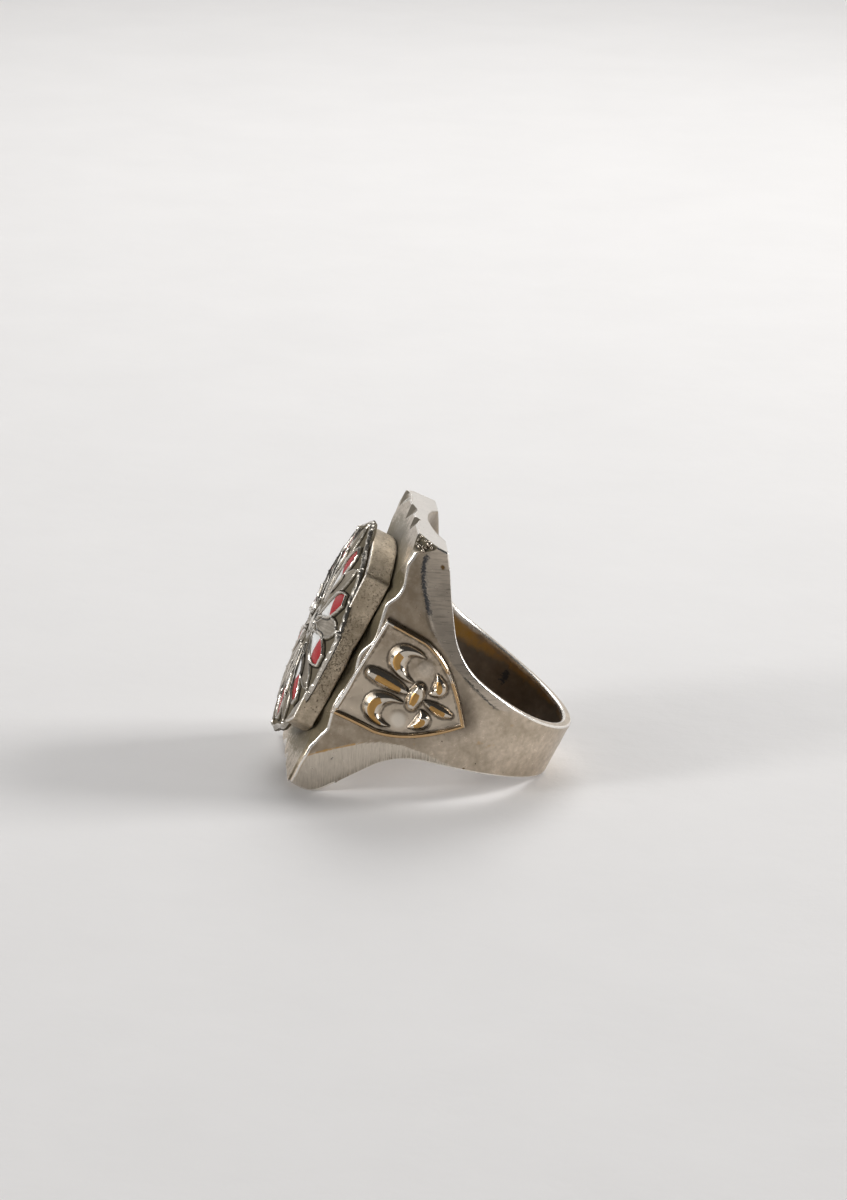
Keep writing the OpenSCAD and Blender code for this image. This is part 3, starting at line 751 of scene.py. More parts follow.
def shield_relief(p, q, size):
    """Height of the shield over its field, and the values for its finish. A flat band with rounded edges
    runs round the rim, and the petals are pads with flat crests."""
    edge = line_distance(p, q, shield_outline())
    wide = 0.2 + 0.05 * smooth(-q, 0.5, 2.5)
    rim = size["rim"] * pad_profile(np.abs(edge - wide) / wide, 0.3)
    height, grime, crest, pale = (np.zeros_like(p) for _ in range(4))
    for table, tall, first, last in LILY:
        r, w, along = stroke(p, q, table)
        h = size["petal"] * tall * np.minimum(1, w / 0.55) ** 0.8 * pad_profile(r / 1.06, 0.24, 1.35, 0.95)
        on = smooth(along, first - 0.25, first + 0.25) * (1 - smooth(along, last - 0.25, last + 0.25))
        rubbed, _, _ = stroke(p, q + 0.09, table)
        crest = np.where(h > height, smooth(0.56 - rubbed, 0, 0.3) * on, crest)
        grime = np.maximum(grime, 0.95 * blob((r - 1.12) * w, 0.17))
        height = np.maximum(height, h)
    for table in (CURL_BALL, mirrored(CURL_BALL)):
        r, _, _ = stroke(p, q, table)
        pale = np.maximum(pale, (1 - smooth(r, 0.6, 1.2)) * (0.35 if table[0][1] > 0 else 1.1))
        height = np.maximum(height, 0.05 * np.clip(1 - (r / 1.4) ** 2, 0, 1))
    dish = 0.03 * (1 - smooth(edge, 0.35, 1.0)) + 0.012 * ripples(p, q, 21, 7, 2.5)
    grime = np.maximum(grime * (height < 0.2), 0.7 * blob(edge - 0.5, 0.13))
    height = np.maximum(height + dish * smooth(edge, 0.3, 0.5), rim)
    ledge = smooth(1.4 - np.abs(edge - wide) / wide, 0.5, 0.9)
    worn = np.maximum(smooth(-q, 0.4, 1.4), smooth(4.0 - p, 0, 1.4)) * (p < 11.2)
    worn = np.maximum(worn, 0.8 * (q > 3.4) * (p < 10.2))
    values = {"crest": crest, "tall": height, "grime": grime, "pale": pale, "ledge": ledge * worn,
              "bead": ledge * (p > 10.7) * (q > -4.4), "lit": 1 - smooth(q, 0.0, 3.5)}
    return height, values


# Rows and columns of a shield's relief, and the heights of the rings of its wall over the field
SHIELD_GRID = (205, 215)
SKIRT = (0.1, 0.0, -0.9)


def shield_mesh(name, side, size):
    """A shield as a grid over its plan, p from the point to the straight edge and q across, with a wall
    round it that goes down into the casting and a flat back."""
    rows, cols = SHIELD_GRID
    u = np.linspace(0, 1, rows)
    u = 0.75 * u + 0.25 * np.sin(u * math.pi / 2)
    t = np.linspace(-1, 1, cols)
    t = 0.55 * t + 0.45 * np.sin(t * math.pi / 2)
    p, q = shield_plan(u[:, None] + 0 * t, t + 0 * u[:, None])
    # The point of the shield keeps a little width, so that no face there closes up
    q = q + 0.01 * t
    h, values = shield_relief(p, q, size)

    def place(p, q, h):
        """A point at the height h over the shield's plane, which leans back by its tilt."""
        n = p * math.cos(SHIELD_TILT) + h * math.sin(SHIELD_TILT)
        s = SHIELD_OUT - p * math.sin(SHIELD_TILT) + h * math.cos(SHIELD_TILT)
        return np.stack([n, q, side * s], -1)

    top = place(p, q, h).reshape(-1, 3)
    previous = border(np.arange(rows * cols).reshape(rows, cols))
    rp, rq = p.ravel()[previous], q.ravel()[previous]
    count, m = rows * cols, len(previous)
    skirts = [place(rp, rq, np.full(m, level)) for level in SKIRT]
    centre = place(np.array([6.0]), np.array([0.0]), np.array([SKIRT[-1]]))
    faces = [grid_faces(rows, cols)]
    for k in range(len(SKIRT)):
        current = count + k * m + np.arange(m)
        faces.append(np.stack([previous, current, np.roll(current, -1), np.roll(previous, -1)], -1))
        previous = current
    faces.append(fan_faces(previous, count + len(SKIRT) * m))
    points = np.concatenate([top, *skirts, centre])
    values = {k: np.r_[v.ravel(), np.zeros(len(points) - count)] for k, v in values.items()}
    return make_piece(name, to_world(points), faces, values)


# The riser

# Half width and half length of the straight sides, rise of the end arcs, and points on an arc and along a
# side
RISER_W, RISER_L, RISER_RISE = 7.4, 7.6, 2.2
ARC_POINTS, SIDE_POINTS = 44, 70


def riser_outline(inset):
    """Plan of the riser as (s, l): straight sides that end in two broad arcs, narrowed all round by the
    inset."""
    w = RISER_W - inset
    rise = RISER_RISE * w / RISER_W
    r = (w * w + rise * rise) / (2 * rise)
    reach = math.asin(w / r)
    l = RISER_L - 0.6 * inset
    a = np.linspace(reach, -reach, ARC_POINTS)
    arc = np.stack([r * np.sin(a), l + rise - r + r * np.cos(a)], -1)
    side = np.stack([np.full(SIDE_POINTS, -w), np.linspace(l, -l, SIDE_POINTS + 2)[1:-1]], -1)
    return np.concatenate([arc, side, -arc, -side])


def riser_top(l):
    """Height of the riser's top, which rises evenly along the finger."""
    return FACE_N + 2.4 + 0.026 * l


def riser_mesh(size):
    """The riser as rings of its plan: the foot, the underside, the upright sides with both arrises rounded,
    the top and the seat under the rosette."""
    wide, foot = riser_outline(0), riser_outline(1.1)
    soft = riser_outline(size["round"])
    wave = 0.03 * ripples(wide[:, 1], wide[:, 0], 31, 7, 5.0)
    low = FACE_N + 0.15 + wave
    high = riser_top(wide[:, 1])
    r = size["round"]
    rings = [(foot, FACE_N + 0.05 + 0 * wave), (foot, low), (soft, low)]
    k = 0.3 * r
    rings.append((riser_outline(k), low + k))
    rings += [(wide, low + r + (high - low - 2 * r) * f) for f in np.linspace(0, 1, 16)]
    rings.append((riser_outline(k), high - k))
    rings += [(riser_outline(r), high), (riser_outline(0.35), high), (riser_outline(0.5), high - 0.4)]
    points = np.concatenate([np.stack([n, plan[:, 1], plan[:, 0]], -1) for plan, n in rings])
    m, count = len(wide), len(rings)
    kind = np.repeat([0, 0, 0.4, 1, *[0.0] * 16, 1, 1, 0, 0], m)
    up = np.repeat([0, 0, 0, 0.02, *np.linspace(0.03, 0.97, 16), 0.99, 1, 1, 1], m)
    ends = np.array([[FACE_N + 0.05, 0, 0], [riser_top(0) - 0.4, 0, 0]])
    points = np.concatenate([points, ends])
    faces = [grid_faces(count, m, close_cols=True), fan_faces(np.arange(m), count * m, True),
             fan_faces(np.arange(m) + (count - 1) * m, count * m + 1)]
    return make_piece("riser_block", to_world(points), faces, {
        "rub": np.r_[kind, 0, 0], "up": np.r_[up, 0, 1]})


# The rosette

# Place along the finger, half width and half length, and the power of the oval: 2 would be an ellipse
ROSETTE_L, ROSETTE_W, ROSETTE_HALF = -0.4, 8.9, 11.0
OVAL_POWER = 1.7
PETALS = 10
SECTOR = math.tau / PETALS
FIRST_PETAL = math.radians(24)

# The seat in the riser, its height over the face and its rise along the finger; then the gap over it, the
# height of the rosette's edge, how far that edge sags at the two sides, and its level in the middle
SEAT_RISE, SEAT_SLOPE = 1.95, 0.054
SEAT_GAP, ROSETTE_EDGE, SIDE_SAG = 0.05, 0.38, 0.3
EDGE_BASE = FACE_N + SEAT_RISE + SEAT_GAP + ROSETTE_EDGE + SIDE_SAG

# Mean radius of the rosette, the place of the beads along its rim as a share of the radius, and their number
MEAN_R, BEAD_Q, RIM_BEADS = 10, 0.966, 70

# Points on each ring of the rosette
ROSETTE_RAYS = 960


def petal_half_angle(q):
    """Half angle of an enamelled petal at the share q of the radius: a lens with its widest place past the
    middle."""
    t = np.clip((q - 0.25) / 0.67, 0, 1)
    return math.radians(10.0) * (0.26 + 0.74 * np.sin(math.pi * t ** 1.1))


def rosette_plan(q, a):
    """Plan (s, l) at the share q and the direction a: an oval with pointed ends and one shallow lobe a
    petal."""
    oval = (np.abs(np.sin(a)) ** OVAL_POWER + np.abs(np.cos(a)) ** OVAL_POWER) ** (-1 / OVAL_POWER)
    k = q * oval * (1 + 0.025 * q * q * np.cos(PETALS * (a - FIRST_PETAL) + math.pi))
    return k * ROSETTE_W * np.sin(a), k * ROSETTE_HALF * np.cos(a)


def rosette_place(q, a, h):
    """A point at the height h over the rosette's edge, which leans along the finger and sags at the two
    sides."""
    s, l = rosette_plan(q, a)
    l = l + ROSETTE_L
    n = EDGE_BASE + SEAT_SLOPE * l - SIDE_SAG * np.square(s / ROSETTE_W) + h
    return np.stack([n, l, s], -1)


def dome(q):
    """Height of the dome at the share q of the radius: it falls as the fourth power of q."""
    return 0.75 * (1 - q ** 4)


def rim_relief(q, a, bead):
    """Relief of the rim and its roughness: a row of beads of uneven size that fade into a plain ridge away
    from the direction in which the rim is rough."""
    rng = np.random.default_rng(3)
    heights = rng.uniform(0.2, 1.1, RIM_BEADS)
    shift = rng.uniform(-0.012, 0.012, RIM_BEADS)
    number = np.floor(a / math.tau * RIM_BEADS).astype(int) % RIM_BEADS
    phase = a / math.tau * RIM_BEADS % 1 - 0.5
    rough = 0.05 + 0.95 * smooth(np.cos(a - 1.1), 0.35, 0.8)
    ball = np.square(phase * 2) + np.square((q - BEAD_Q - shift[number]) * MEAN_R / 0.27)
    beads = bead * heights[number] * rough * np.sqrt(np.clip(1.05 - ball, 0, 1))
    ridge = 0.15 * (1.15 - rough) * blob((q - BEAD_Q) * MEAN_R, 0.17)
    return beads + ridge, rough


def rosette_relief(q, a, size):
    """Relief of the petals over the dome, and the values that its finish needs. The lens of each enamelled
    petal is a pocket inside a raised wire; the plain petals are spoons with raised edges; beads run along
    the rim and a knob stands in the middle."""
    turn = np.mod(a - FIRST_PETAL + SECTOR / 2, SECTOR) - SECTOR / 2
    s, l = rosette_plan(q, a)
    radius = np.hypot(s, l)

    # The enamelled petals
    off = (np.abs(turn) - petal_half_angle(q)) * radius
    in_lens = smooth(q, 0.24, 0.29) * (1 - smooth(q, 0.9, 0.93))
    end = np.maximum(0.27 - q, q - 0.905) * 9
    rimmed = np.maximum(off, end)
    wire = size["wire"] * blob(rimmed - 0.04, 0.085) * smooth(q, 0.1, 0.22)
    pocket = -0.25 * smooth(-rimmed, -0.02, 0.1)

    # The plain petals
    leaf_t = np.clip((q - 0.17) / 0.76, 0, 1)
    leaf_half = math.radians(8.4) * np.sin(math.pi * leaf_t ** 1.05) ** 0.62 + 1e-3
    across = (SECTOR / 2 - np.abs(turn)) / leaf_half
    leaf = (across < 1) * (leaf_t > 0) * (leaf_t < 1)
    spoon = -size["spoon"] * (1 - np.square(np.clip(across, 0, 1))) * leaf
    out = (across - 1) * leaf_half * radius
    leaf_edge = 0.1 * blob(out, 0.075) * smooth(q, 0.18, 0.26) * (1 - smooth(q, 0.93, 0.95))
    between = -0.2 * smooth(out, 0.03, 0.16) * smooth(rimmed, 0.08, 0.2) * smooth(q, 0.2, 0.35)

    # The rim and the knob
    rim, rough = rim_relief(q, a, size["bead"])
    nuggets = 0.1 * np.clip(ripples(s, l, 44, 9, 1.3) - 0.4, 0, 1) * smooth(q, 0.86, 0.92)
    nuggets = nuggets * (rimmed > 0.1) * rough
    knob = 0.3 * np.sqrt(np.clip(1 - np.square(q / 0.09), 0, 1)) + 0.1 * blob((q - 0.13) * MEAN_R, 0.2)
    groove = -0.1 * blob((q - 0.1) * MEAN_R, 0.12)

    height = wire + pocket * in_lens + (spoon + leaf_edge) * (rimmed > 0.05) + between + rim + nuggets
    height = height + knob + groove - 0.25 * smooth(q, 0.985, 1.0)
    leaf = leaf * (across < 0.93) * (rimmed > 0.05)
    low = smooth(-height, -0.08, 0.05) * (1 - smooth(q, 0.952, 0.965)) * (1 - leaf)
    outlines = np.maximum(blob(rimmed - 0.21, 0.06), blob(out - 0.16, 0.05)) * (rimmed > 0.12) * (q < 0.94)
    return height, {"across": across, "leaf": leaf, "tall": height, "grime": low, "line": outlines}


def rosette_mesh(size):
    """The rosette as rings from its middle to its rim, then down the edge and back under it to its middle."""
    rays = ROSETTE_RAYS
    a = np.linspace(0, math.tau, rays, endpoint=False)[None, :]
    q = np.concatenate([np.linspace(0.015, 0.86, 62), np.linspace(0.87, 1, 30)])[:, None]
    height, values = rosette_relief(q, a, size)
    top = rosette_place(q, a, dome(q) + height)
    under = [rosette_place(np.array([[1.0]]), a, h) for h in (-0.3, -0.36)]
    sag = SIDE_SAG * np.square(rosette_plan(1.0, a)[0] / ROSETTE_W) - SIDE_SAG
    flat = [rosette_place(np.array([[x]]), a, sag * x * x - ROSETTE_EDGE) for x in (0.985, 0.6)]
    points = np.concatenate([top, *under, *flat]).reshape(-1, 3)
    rows = len(q) + len(under) + len(flat)
    zero = np.array([0.0])
    levels = dome(0) + 0.3, -ROSETTE_EDGE - SIDE_SAG
    middle = [rosette_place(zero, zero, np.array([h]))[0] for h in levels]
    points = np.concatenate([points, middle])
    faces = [grid_faces(rows, rays, close_cols=True), fan_faces(np.arange(rays), rows * rays, True),
             fan_faces(np.arange(rays) + (rows - 1) * rays, rows * rays + 1)]
    edge = {"across": 1, "leaf": 0, "tall": 0, "grime": 1.3, "line": 0}
    rest = len(points) - height.size
    values = {
        k: np.r_[np.broadcast_to(v, height.shape).ravel(), np.full(rest, edge[k])] for k, v in values.items()}
    return make_piece("rosette_flower", to_world(points), faces, values)


# The two inlays of each enamelled petal: the shares of the radius between which they lie, the seed of their
# unevenness and the tone of the dirt on them
ENAMELS = {
    "white": (0.3, 0.618, 11, (0.5, 0.49, 0.47)),
    "red": (0.622, 0.9, 12, (0.16, 0.012, 0.02)),
}


def enamel_mesh(name, first, last, seed):
    """The ten inlays of one colour: each is a small pillow over its share of a petal's lens, a grid of shares
    of the radius and of places across, crowned as one less the square of the place across, with its edges
    turned down and a flat back."""
    q = np.linspace(first, last, 16)
    x = np.linspace(-1, 1, 15)
    rng = np.random.default_rng(seed)
    all_points, all_faces, start = [], [], 0
    ends = np.minimum(1, np.minimum(q - first, last - q) / 0.012)
    m = len(q) * len(x)
    pad = grid_faces(len(q), len(x))
    ring = border(np.arange(m).reshape(len(q), len(x)))
    wall = np.stack([ring, ring + m, np.roll(ring, -1) + m, np.roll(ring, -1)], -1)
    for k in range(PETALS):
        w = 0.97 * petal_half_angle(q)
        a = FIRST_PETAL + k * SECTOR + w[:, None] * x
        side = 1 - smooth(np.abs(x), 0.82, 1.0)
        crown = 0.1 * (1 - x * x) * np.ones_like(q)[:, None] - 0.1 * (1 - side * ends[:, None])
        level = rng.uniform(-0.03, 0.01)
        top = rosette_place(q[:, None] + 0 * x, a, dome(q)[:, None] - 0.01 + level + crown)
        back = rosette_place(q[:, None] + 0 * x, a, dome(q)[:, None] - 0.3 + 0 * x)
        all_points += [top.reshape(-1, 3), back.reshape(-1, 3)]
        all_faces += [pad + start, pad[:, ::-1] + m + start, wall + start]
        start += 2 * m
    return make_piece(name, to_world(np.concatenate(all_points)), [np.concatenate(all_faces)])


# Solder beads on the broken corner: the share of the way from the face to the shoulder, the place along the
# finger and the radius of each
SOLDER = np.array([
    (0.2, 12.95, 0.15), (0.72, 12.86, 0.3), (0.47, 12.22, 0.2), (0.65, 12.36, 0.15), (1.0, 12.14, 0.2),
    (0.19, 12.26, 0.13), (0.79, 12.46, 0.17), (0.93, 12.74, 0.18), (0.16, 12.56, 0.14), (0.49, 12.88, 0.13)])

# The broken corner under the beads: its least leg, and its growth on the shoulder and on the face; then the
# face's half width there, the widening of the head for each unit behind the face, and the height of the
# centres of the beads over the face
BEAD_LEAST, BEAD_SIDE_GROWTH, BEAD_FACE_GROWTH = 0.25, 1.28, 1.13
BEAD_HALF_WIDTH, BEAD_SLANT, BEAD_LIFT = 8.22, 0.256, 0.03

# Points on a ring of a bead, and rings
BEAD_POINTS = (12, 7)


def solder_centres(u, l):
    """Centres of the solder beads: at the share u of the way along the flat that breaks the corner at l."""
    worn = smooth(l, *CORNER_SPAN)
    on_side = BEAD_LEAST + BEAD_SIDE_GROWTH * worn
    on_face = BEAD_LEAST + BEAD_FACE_GROWTH * worn
    s = BEAD_HALF_WIDTH - on_face + (on_face + BEAD_SLANT * on_side) * u
    return np.stack([FACE_N + BEAD_LIFT - on_side * u, l, s], -1)


def bead_mesh(name, centres, radii):
    """Small balls as one mesh: a unit ball, with rings of points between two poles, carried to each centre
    and scaled."""
    around, up = BEAD_POINTS
    t = np.linspace(0, math.tau, around, endpoint=False)[None, :]
    v = (np.arange(1, up + 1) / (up + 1) * math.pi)[:, None]
    ball = np.stack([np.sin(v) * np.cos(t), np.sin(v) * np.sin(t), np.cos(v) + 0 * t], -1).reshape(-1, 3)
    ball = np.vstack([ball, [[0, 0, 1], [0, 0, -1]]])
    points = centres[:, None, :] + radii[:, None, None] * ball[None]
    quads = grid_faces(up, around, close_cols=True)
    first = fan_faces(np.arange(around), up * around, True)
    last = fan_faces(np.arange(around) + (up - 1) * around, up * around + 1)
    shift = (np.arange(len(radii)) * len(ball))[:, None, None]
    faces = [(f[None] + shift).reshape(-1, f.shape[1]) for f in (quads, first, last)]
    return make_piece(name, to_world(points.reshape(-1, 3)), faces)


# Finishes

# Clean and tarnished metal of the riser, the rosette and the solder beads
RISER_METAL = (0.68, 0.57, 0.43), (0.38, 0.31, 0.22)
ROSETTE_METAL = (0.64, 0.6, 0.54), (0.46, 0.42, 0.36)
SOLDER_METAL = (0.66, 0.6, 0.52), (0.3, 0.23, 0.16)

# Paler metal: on the foot strip, where it is partly a painted reflection of the floor, and on the balls of
# the lily; painted light on the upper end of the head; paler metal on the lily's petals and on the
# rosette's wires
PALE_METAL_AND_REFLECTION = (0.82, 0.75, 0.65)
END_LIGHT_METAL = (0.8, 0.77, 0.73)
PETAL_METAL = (0.7, 0.65, 0.57)
WIRE_METAL = (0.8, 0.755, 0.69)

# The shoulder: painted shade on its middle, painted light on the upper strip and the lines on it, the marks
# on the foot strip, the brink below it and a painted shadow on the end of the shoulder behind the shield
PANEL_SHADE = (0.31, 0.245, 0.175)
STRIP_LIGHT, STRIP_LINES = (0.6, 0.53, 0.45), (0.2, 0.17, 0.13)
FOOT_MARKS = (0.24, 0.19, 0.13)
BRINK_TONE = (0.17, 0.135, 0.09)
SHADOW_BY_SHIELD_TONE = (0.11, 0.085, 0.06)

# Dirt and painted shade: dirt in pits, round raised forms, soot with painted shadow, stains, in the finger
# hole; painted shade on the notches' walls; specks on the riser and a darker tone toward its foot; dirt
# between the rosette's petals and on the enamel
PIT_DIRT = (0.02, 0.017, 0.013)
OLD_DIRT = (0.07, 0.055, 0.04)
SOOT_AND_SHADOW_TONE = (0.035, 0.037, 0.042)
STAIN = (0.17, 0.1, 0.04)
BORE_DIRT, BORE_OCHRE = (0.13, 0.098, 0.07), (0.46, 0.25, 0.05)
NOTCH_SHADE = (0.13, 0.11, 0.08), (0.24, 0.21, 0.165)
RISER_SPECKS, RISER_FOOT = (0.05, 0.04, 0.026), (0.14, 0.115, 0.08)
ROSETTE_DIRT, ROSETTE_LINES = (0.12, 0.095, 0.055), (0.02, 0.016, 0.01)
ENAMEL_SPECKS = (0.05, 0.04, 0.035)

# The shield's field, dim and lit, and the rosette's plain petals, dark and light, with their veins
FIELD_TONES = (0.34, 0.27, 0.195), (0.62, 0.53, 0.42)
LEAF_TONES = (0.27, 0.23, 0.175), (0.44, 0.385, 0.31)
LEAF_VEINS = (0.12, 0.1, 0.07)


def worn_metal(f, base, dark, rough):
    """Colour and roughness of cast metal, the base tone clouded by noise, and its small dark pits."""
    fine = f.noise(0.0005, 3, 0.6)
    pits = f.pits(0.0011, 0.035, 0.4)
    tone = f.coated(
        base,
        (f.ramp(f.noise(0.0026, 4, 0.6), (0.35, 0.0), (0.7, 1.0)), dark),
        (f.ramp(fine, (0.3, 0.0), (0.72, 0.55)), tuple(0.75 * x for x in dark)),
        (pits, PIT_DIRT))
    return tone, f.moved(rough, fine, 0.22), pits


def casting_finish(colours):
    f = Finish("worn_nickel_silver")
    tone, rough, pits = worn_metal(f, colours.metal, colours.shade, colours.roughness)
    marks = f.noise(0.0014, 5, 0.75, f.turned((11, 11, 1)))
    lines = f.noise(0.0022, 4, 0.7, f.turned((1, 4, 14)))
    patchy = f.noise(0.0006, 4, 0.7)
    broad = f.noise(0.0016, 5, 0.65)
    speckle = f.noise(0.00028, 3, 0.7, f.turned((1, 1, 2.2), (0, -TILT, 0)))
    strip, foot, bore, cut = (f.value(name) for name in ("strip", "foot", "bore", "shaded_notch_wall"))

    # The shoulder with painted shade on its middle, the two lighter, finely lined strips along its edges, with
    # painted light on the upper one and on the foot strip a pale tone that is partly a painted reflection of
    # the floor, a painted shadow beside the shield and dirt round the shield
    halo = f.where(f.times(f.value("shield"), -1), patchy, 0.9, -0.75, -0.2)
    tone = f.coated(
        tone,
        (f.thinned("panel", broad, (0.36, 0.25), (0.62, 1.0)), PANEL_SHADE),
        (f.times(strip, 0.6), STRIP_LIGHT),
        (f.thinned(strip, lines, (0.5, 0.0), (0.66, 0.55)), STRIP_LINES),
        (f.times(foot, 0.65), PALE_METAL_AND_REFLECTION),
        (f.thinned(foot, marks, (0.45, 0.0), (0.68, 0.36)), FOOT_MARKS),
        (f.thinned("brink", marks, (0.35, 0.0), (0.62, 0.65)), BRINK_TONE),
        (f.thinned("shadow_by_shield", broad, (0.3, 0.75), (0.7, 1.0)), SHADOW_BY_SHIELD_TONE),
        (f.times(halo, 0.85), OLD_DIRT))

    # Olive grime on the face and its scallops, brass, the dark bore, soot with painted shadow, stains, painted
    # light on the head's upper end, rubbed edges and painted shade on the notches' walls
    grime = f.where("grime", f.mix(0.5, patchy, speckle), 3.4, 0.4, 1.2)
    grime = f.most(f.times(grime, 0.9), f.thinned("scallop", patchy, (0.35, 0.25), (0.6, 0.9)))
    olive = f.mix(patchy, colours.grime, tuple(2.0 * x for x in colours.grime))
    inner = f.mix(f.where("ochre", broad, 1.8, 0.35, 1.1), BORE_DIRT, BORE_OCHRE)
    soot_and_shadow = f.times(f.where("soot_and_shadow", speckle, 2.4, 0.45, 0.95), 0.95)
    shine = f.where(f.times(f.value("rub"), 0.8), broad, 1.0, 0.4, 0.75)
    tone = f.coated(
        tone,
        (grime, olive),
        (f.times(f.where("brass", broad, 2.4, 0.4, 0.8), 0.85), colours.brass),
        (f.thinned(bore, broad, (0.3, 0.8), (0.7, 1.0)), inner),
        (soot_and_shadow, SOOT_AND_SHADOW_TONE),
        (f.where("stain", patchy, 0.8, 0.3, 0.7), STAIN),
        (f.times(f.value("end_light"), 0.75), END_LIGHT_METAL),
        (shine, colours.bright),
        (cut, f.mix(broad, *NOTCH_SHADE)))

    matt = f.most(soot_and_shadow, grime, f.times(bore, 0.5), f.times(cut, 2.0))
    rough = f.moved(f.moved(rough, matt, 0.25), shine, -0.1)
    bump = f.bump(f.mix(0.5, marks, lines), 0.000012, 0.6)
    bump = f.bump(f.times(pits, -1), 0.00006, 0.8, bump)
    bump = f.bump(f.times(soot_and_shadow, -1), 0.00003, 0.6, bump)
    bump = f.bump(f.noise(0.00035, 3), 0.00001, 0.5, bump)
    return f.surface(Base_Color=tone, Metallic=f.moved(1.0, matt, -0.5), Roughness=rough, Normal=bump)


def shield_finish(colours):
    f = Finish("shield_metal")
    tone, rough, pits = worn_metal(f, colours.metal, colours.shade, colours.roughness)
    patchy = f.noise(0.0005, 4, 0.7)
    tall, pale = f.value("tall"), f.value("pale")
    low = f.ramp(tall, (0.03, 1.0), (0.2, 0.0))
    crest = f.where("crest", patchy, 0.9, 0.35, 0.5)
    ledge = f.where("ledge", patchy, 1.4, 0.5, 0.75)
    tone = f.coated(
        tone,
        (f.thinned(low, patchy, (0.35, 0.2), (0.65, 0.95)), f.mix(f.value("lit"), *FIELD_TONES)),
        (f.times(f.where("grime", patchy, 1.4, 0.45, 0.9), 0.75), OLD_DIRT),
        (f.ramp(tall, (0.15, 0.0), (0.3, 0.6)), PETAL_METAL),
        (f.times(pale, 0.8), PALE_METAL_AND_REFLECTION),
        (f.most(crest, f.times(ledge, 0.8)), colours.brass),
        (f.where("bead", patchy, 1.0, 0.4, 0.7), colours.bright))
    rough = f.moved(rough, f.ramp(tall, (0.1, 0.0), (0.25, 1.0)), -0.17)
    rough = f.moved(rough, f.most(crest, pale), 0.2)
    bump = f.bump(f.noise(0.0003, 3), 0.000008, 0.5)
    bump = f.bump(f.times(pits, -1), 0.00004, 0.7, bump)
    return f.surface(Base_Color=tone, Metallic=1.0, Roughness=rough, Normal=bump)


def riser_finish(colours):
    f = Finish("pitted_riser_metal")
    tone, rough, pits = worn_metal(f, *RISER_METAL, colours.roughness + 0.1)
    specks = f.ramp(f.noise(0.0002, 2, 0.8), (0.53, 0.0), (0.64, 0.7))
    specks = f.thinned(specks, f.noise(0.0021, 4), (0.38, 0.25), (0.6, 1.0))
    specks = f.most(specks, f.times(f.pits(0.0004, 0.1, 0.9), 0.7))
    low = f.where(f.times(f.value("up"), -1), f.noise(0.001, 4), 0.5, -0.4, -0.08)
    shine = f.thinned("rub", f.noise(0.0011, 3), (0.3, 0.6), (0.6, 1.0))
    tone = f.coated(tone, (specks, RISER_SPECKS), (f.times(low, 0.8), RISER_FOOT), (shine, colours.bright))
    bump = f.bump(f.noise(0.00022, 4, 0.7), 0.000018, 0.9)
    bump = f.bump(f.times(f.math("ADD", specks, pits), -1), 0.00005, 0.9, bump)
    return f.surface(Base_Color=tone, Metallic=1.0, Roughness=f.moved(rough, shine, -0.15), Normal=bump)


def rosette_finish(colours):
    f = Finish("rosette_metal")
    tone, rough, _ = worn_metal(f, *ROSETTE_METAL, colours.roughness - 0.04)
    patchy = f.noise(0.0004, 4, 0.7)
    leaf = f.value("leaf")
    leaf_tone = f.mix(f.ramp(f.noise(0.0013, 3), (0.35, 0.0), (0.65, 1.0)), *LEAF_TONES)
    veins = f.moved(0.5, f.math("SINE", f.times(f.value("across"), 18.0)), 0.5)
    grime = f.where("grime", patchy, 0.9, 0.3, 0.7)
    edge = f.ramp(f.value("tall"), (0.07, 0.0), (0.13, 1.0))
    tone = f.coated(
        tone,
        (f.times(leaf, 0.85), leaf_tone),
        (f.times(leaf, veins, 0.35), LEAF_VEINS),
        (f.times(grime, 0.9), ROSETTE_DIRT),
        (f.where("line", patchy, 0.6, 0.3, 0.6), ROSETTE_LINES),
        (f.times(edge, 0.6), WIRE_METAL))
    rough = f.moved(rough, edge, -0.13)
    rough = f.moved(f.moved(rough, grime, 0.4), leaf, 0.18)
    bump = f.bump(f.times(veins, leaf), 0.00003, 0.8)
    bump = f.bump(f.noise(0.0005, 2), 0.000008, 0.5, bump)
    metallic = f.moved(1.0, grime, -0.9)
    return f.surface(
        Base_Color=tone, Metallic=metallic, Roughness=rough, Specular_IOR_Level=0.1, Normal=bump)


def enamel_finish(name, colour, grime):
    f = Finish(name)
    cloud = f.ramp(f.noise(0.0009, 4), (0.45, 0.0), (0.75, 0.35))
    specks = f.ramp(f.cells(0.0006), (0.05, 0.8), (0.12, 0.0))
    tone = f.coated(colour, (cloud, grime), (f.times(specks, 0.5), ENAMEL_SPECKS))
    bump = f.bump(f.noise(0.0007, 2), 0.00003, 0.5)
    return f.surface(Base_Color=tone, Roughness=0.2, Specular_IOR_Level=0.1, Normal=bump)


def solder_finish():
    f = Finish("solder_bead_metal")
    tone, rough, _ = worn_metal(f, *SOLDER_METAL, 0.08)
    return f.surface(Base_Color=tone, Metallic=1.0, Roughness=rough)


# Settings

def length(name, description, default):
    return FloatProperty(
        name=name, description=description, default=default, min=0.0, unit="LENGTH", precision=5)


def colour(name, description, default):
    return FloatVectorProperty(
        name=name, description=description, default=default, size=3, min=0.0, max=1.0, subtype="COLOR")


def share(name, description, default, largest=1.0):
    return FloatProperty(
        name=name, description=description, default=default, min=0.0, max=largest, subtype="FACTOR")


class RingCastingSettings(bpy.types.PropertyGroup):
    edge_round: length("Worn arris", "How far the casting's sharp edges are worn back", 0.0001)
    bore_round: length("Worn bore edge", "How far the edges of the finger hole are worn back", 0.00018)
    groove: length("Groove depth", "Depth of the groove inside the bevel", 0.00005)
    bevel_slope: share("Bevel slope", "Fall of the bevel for each unit of its width", 0.13, 0.3)


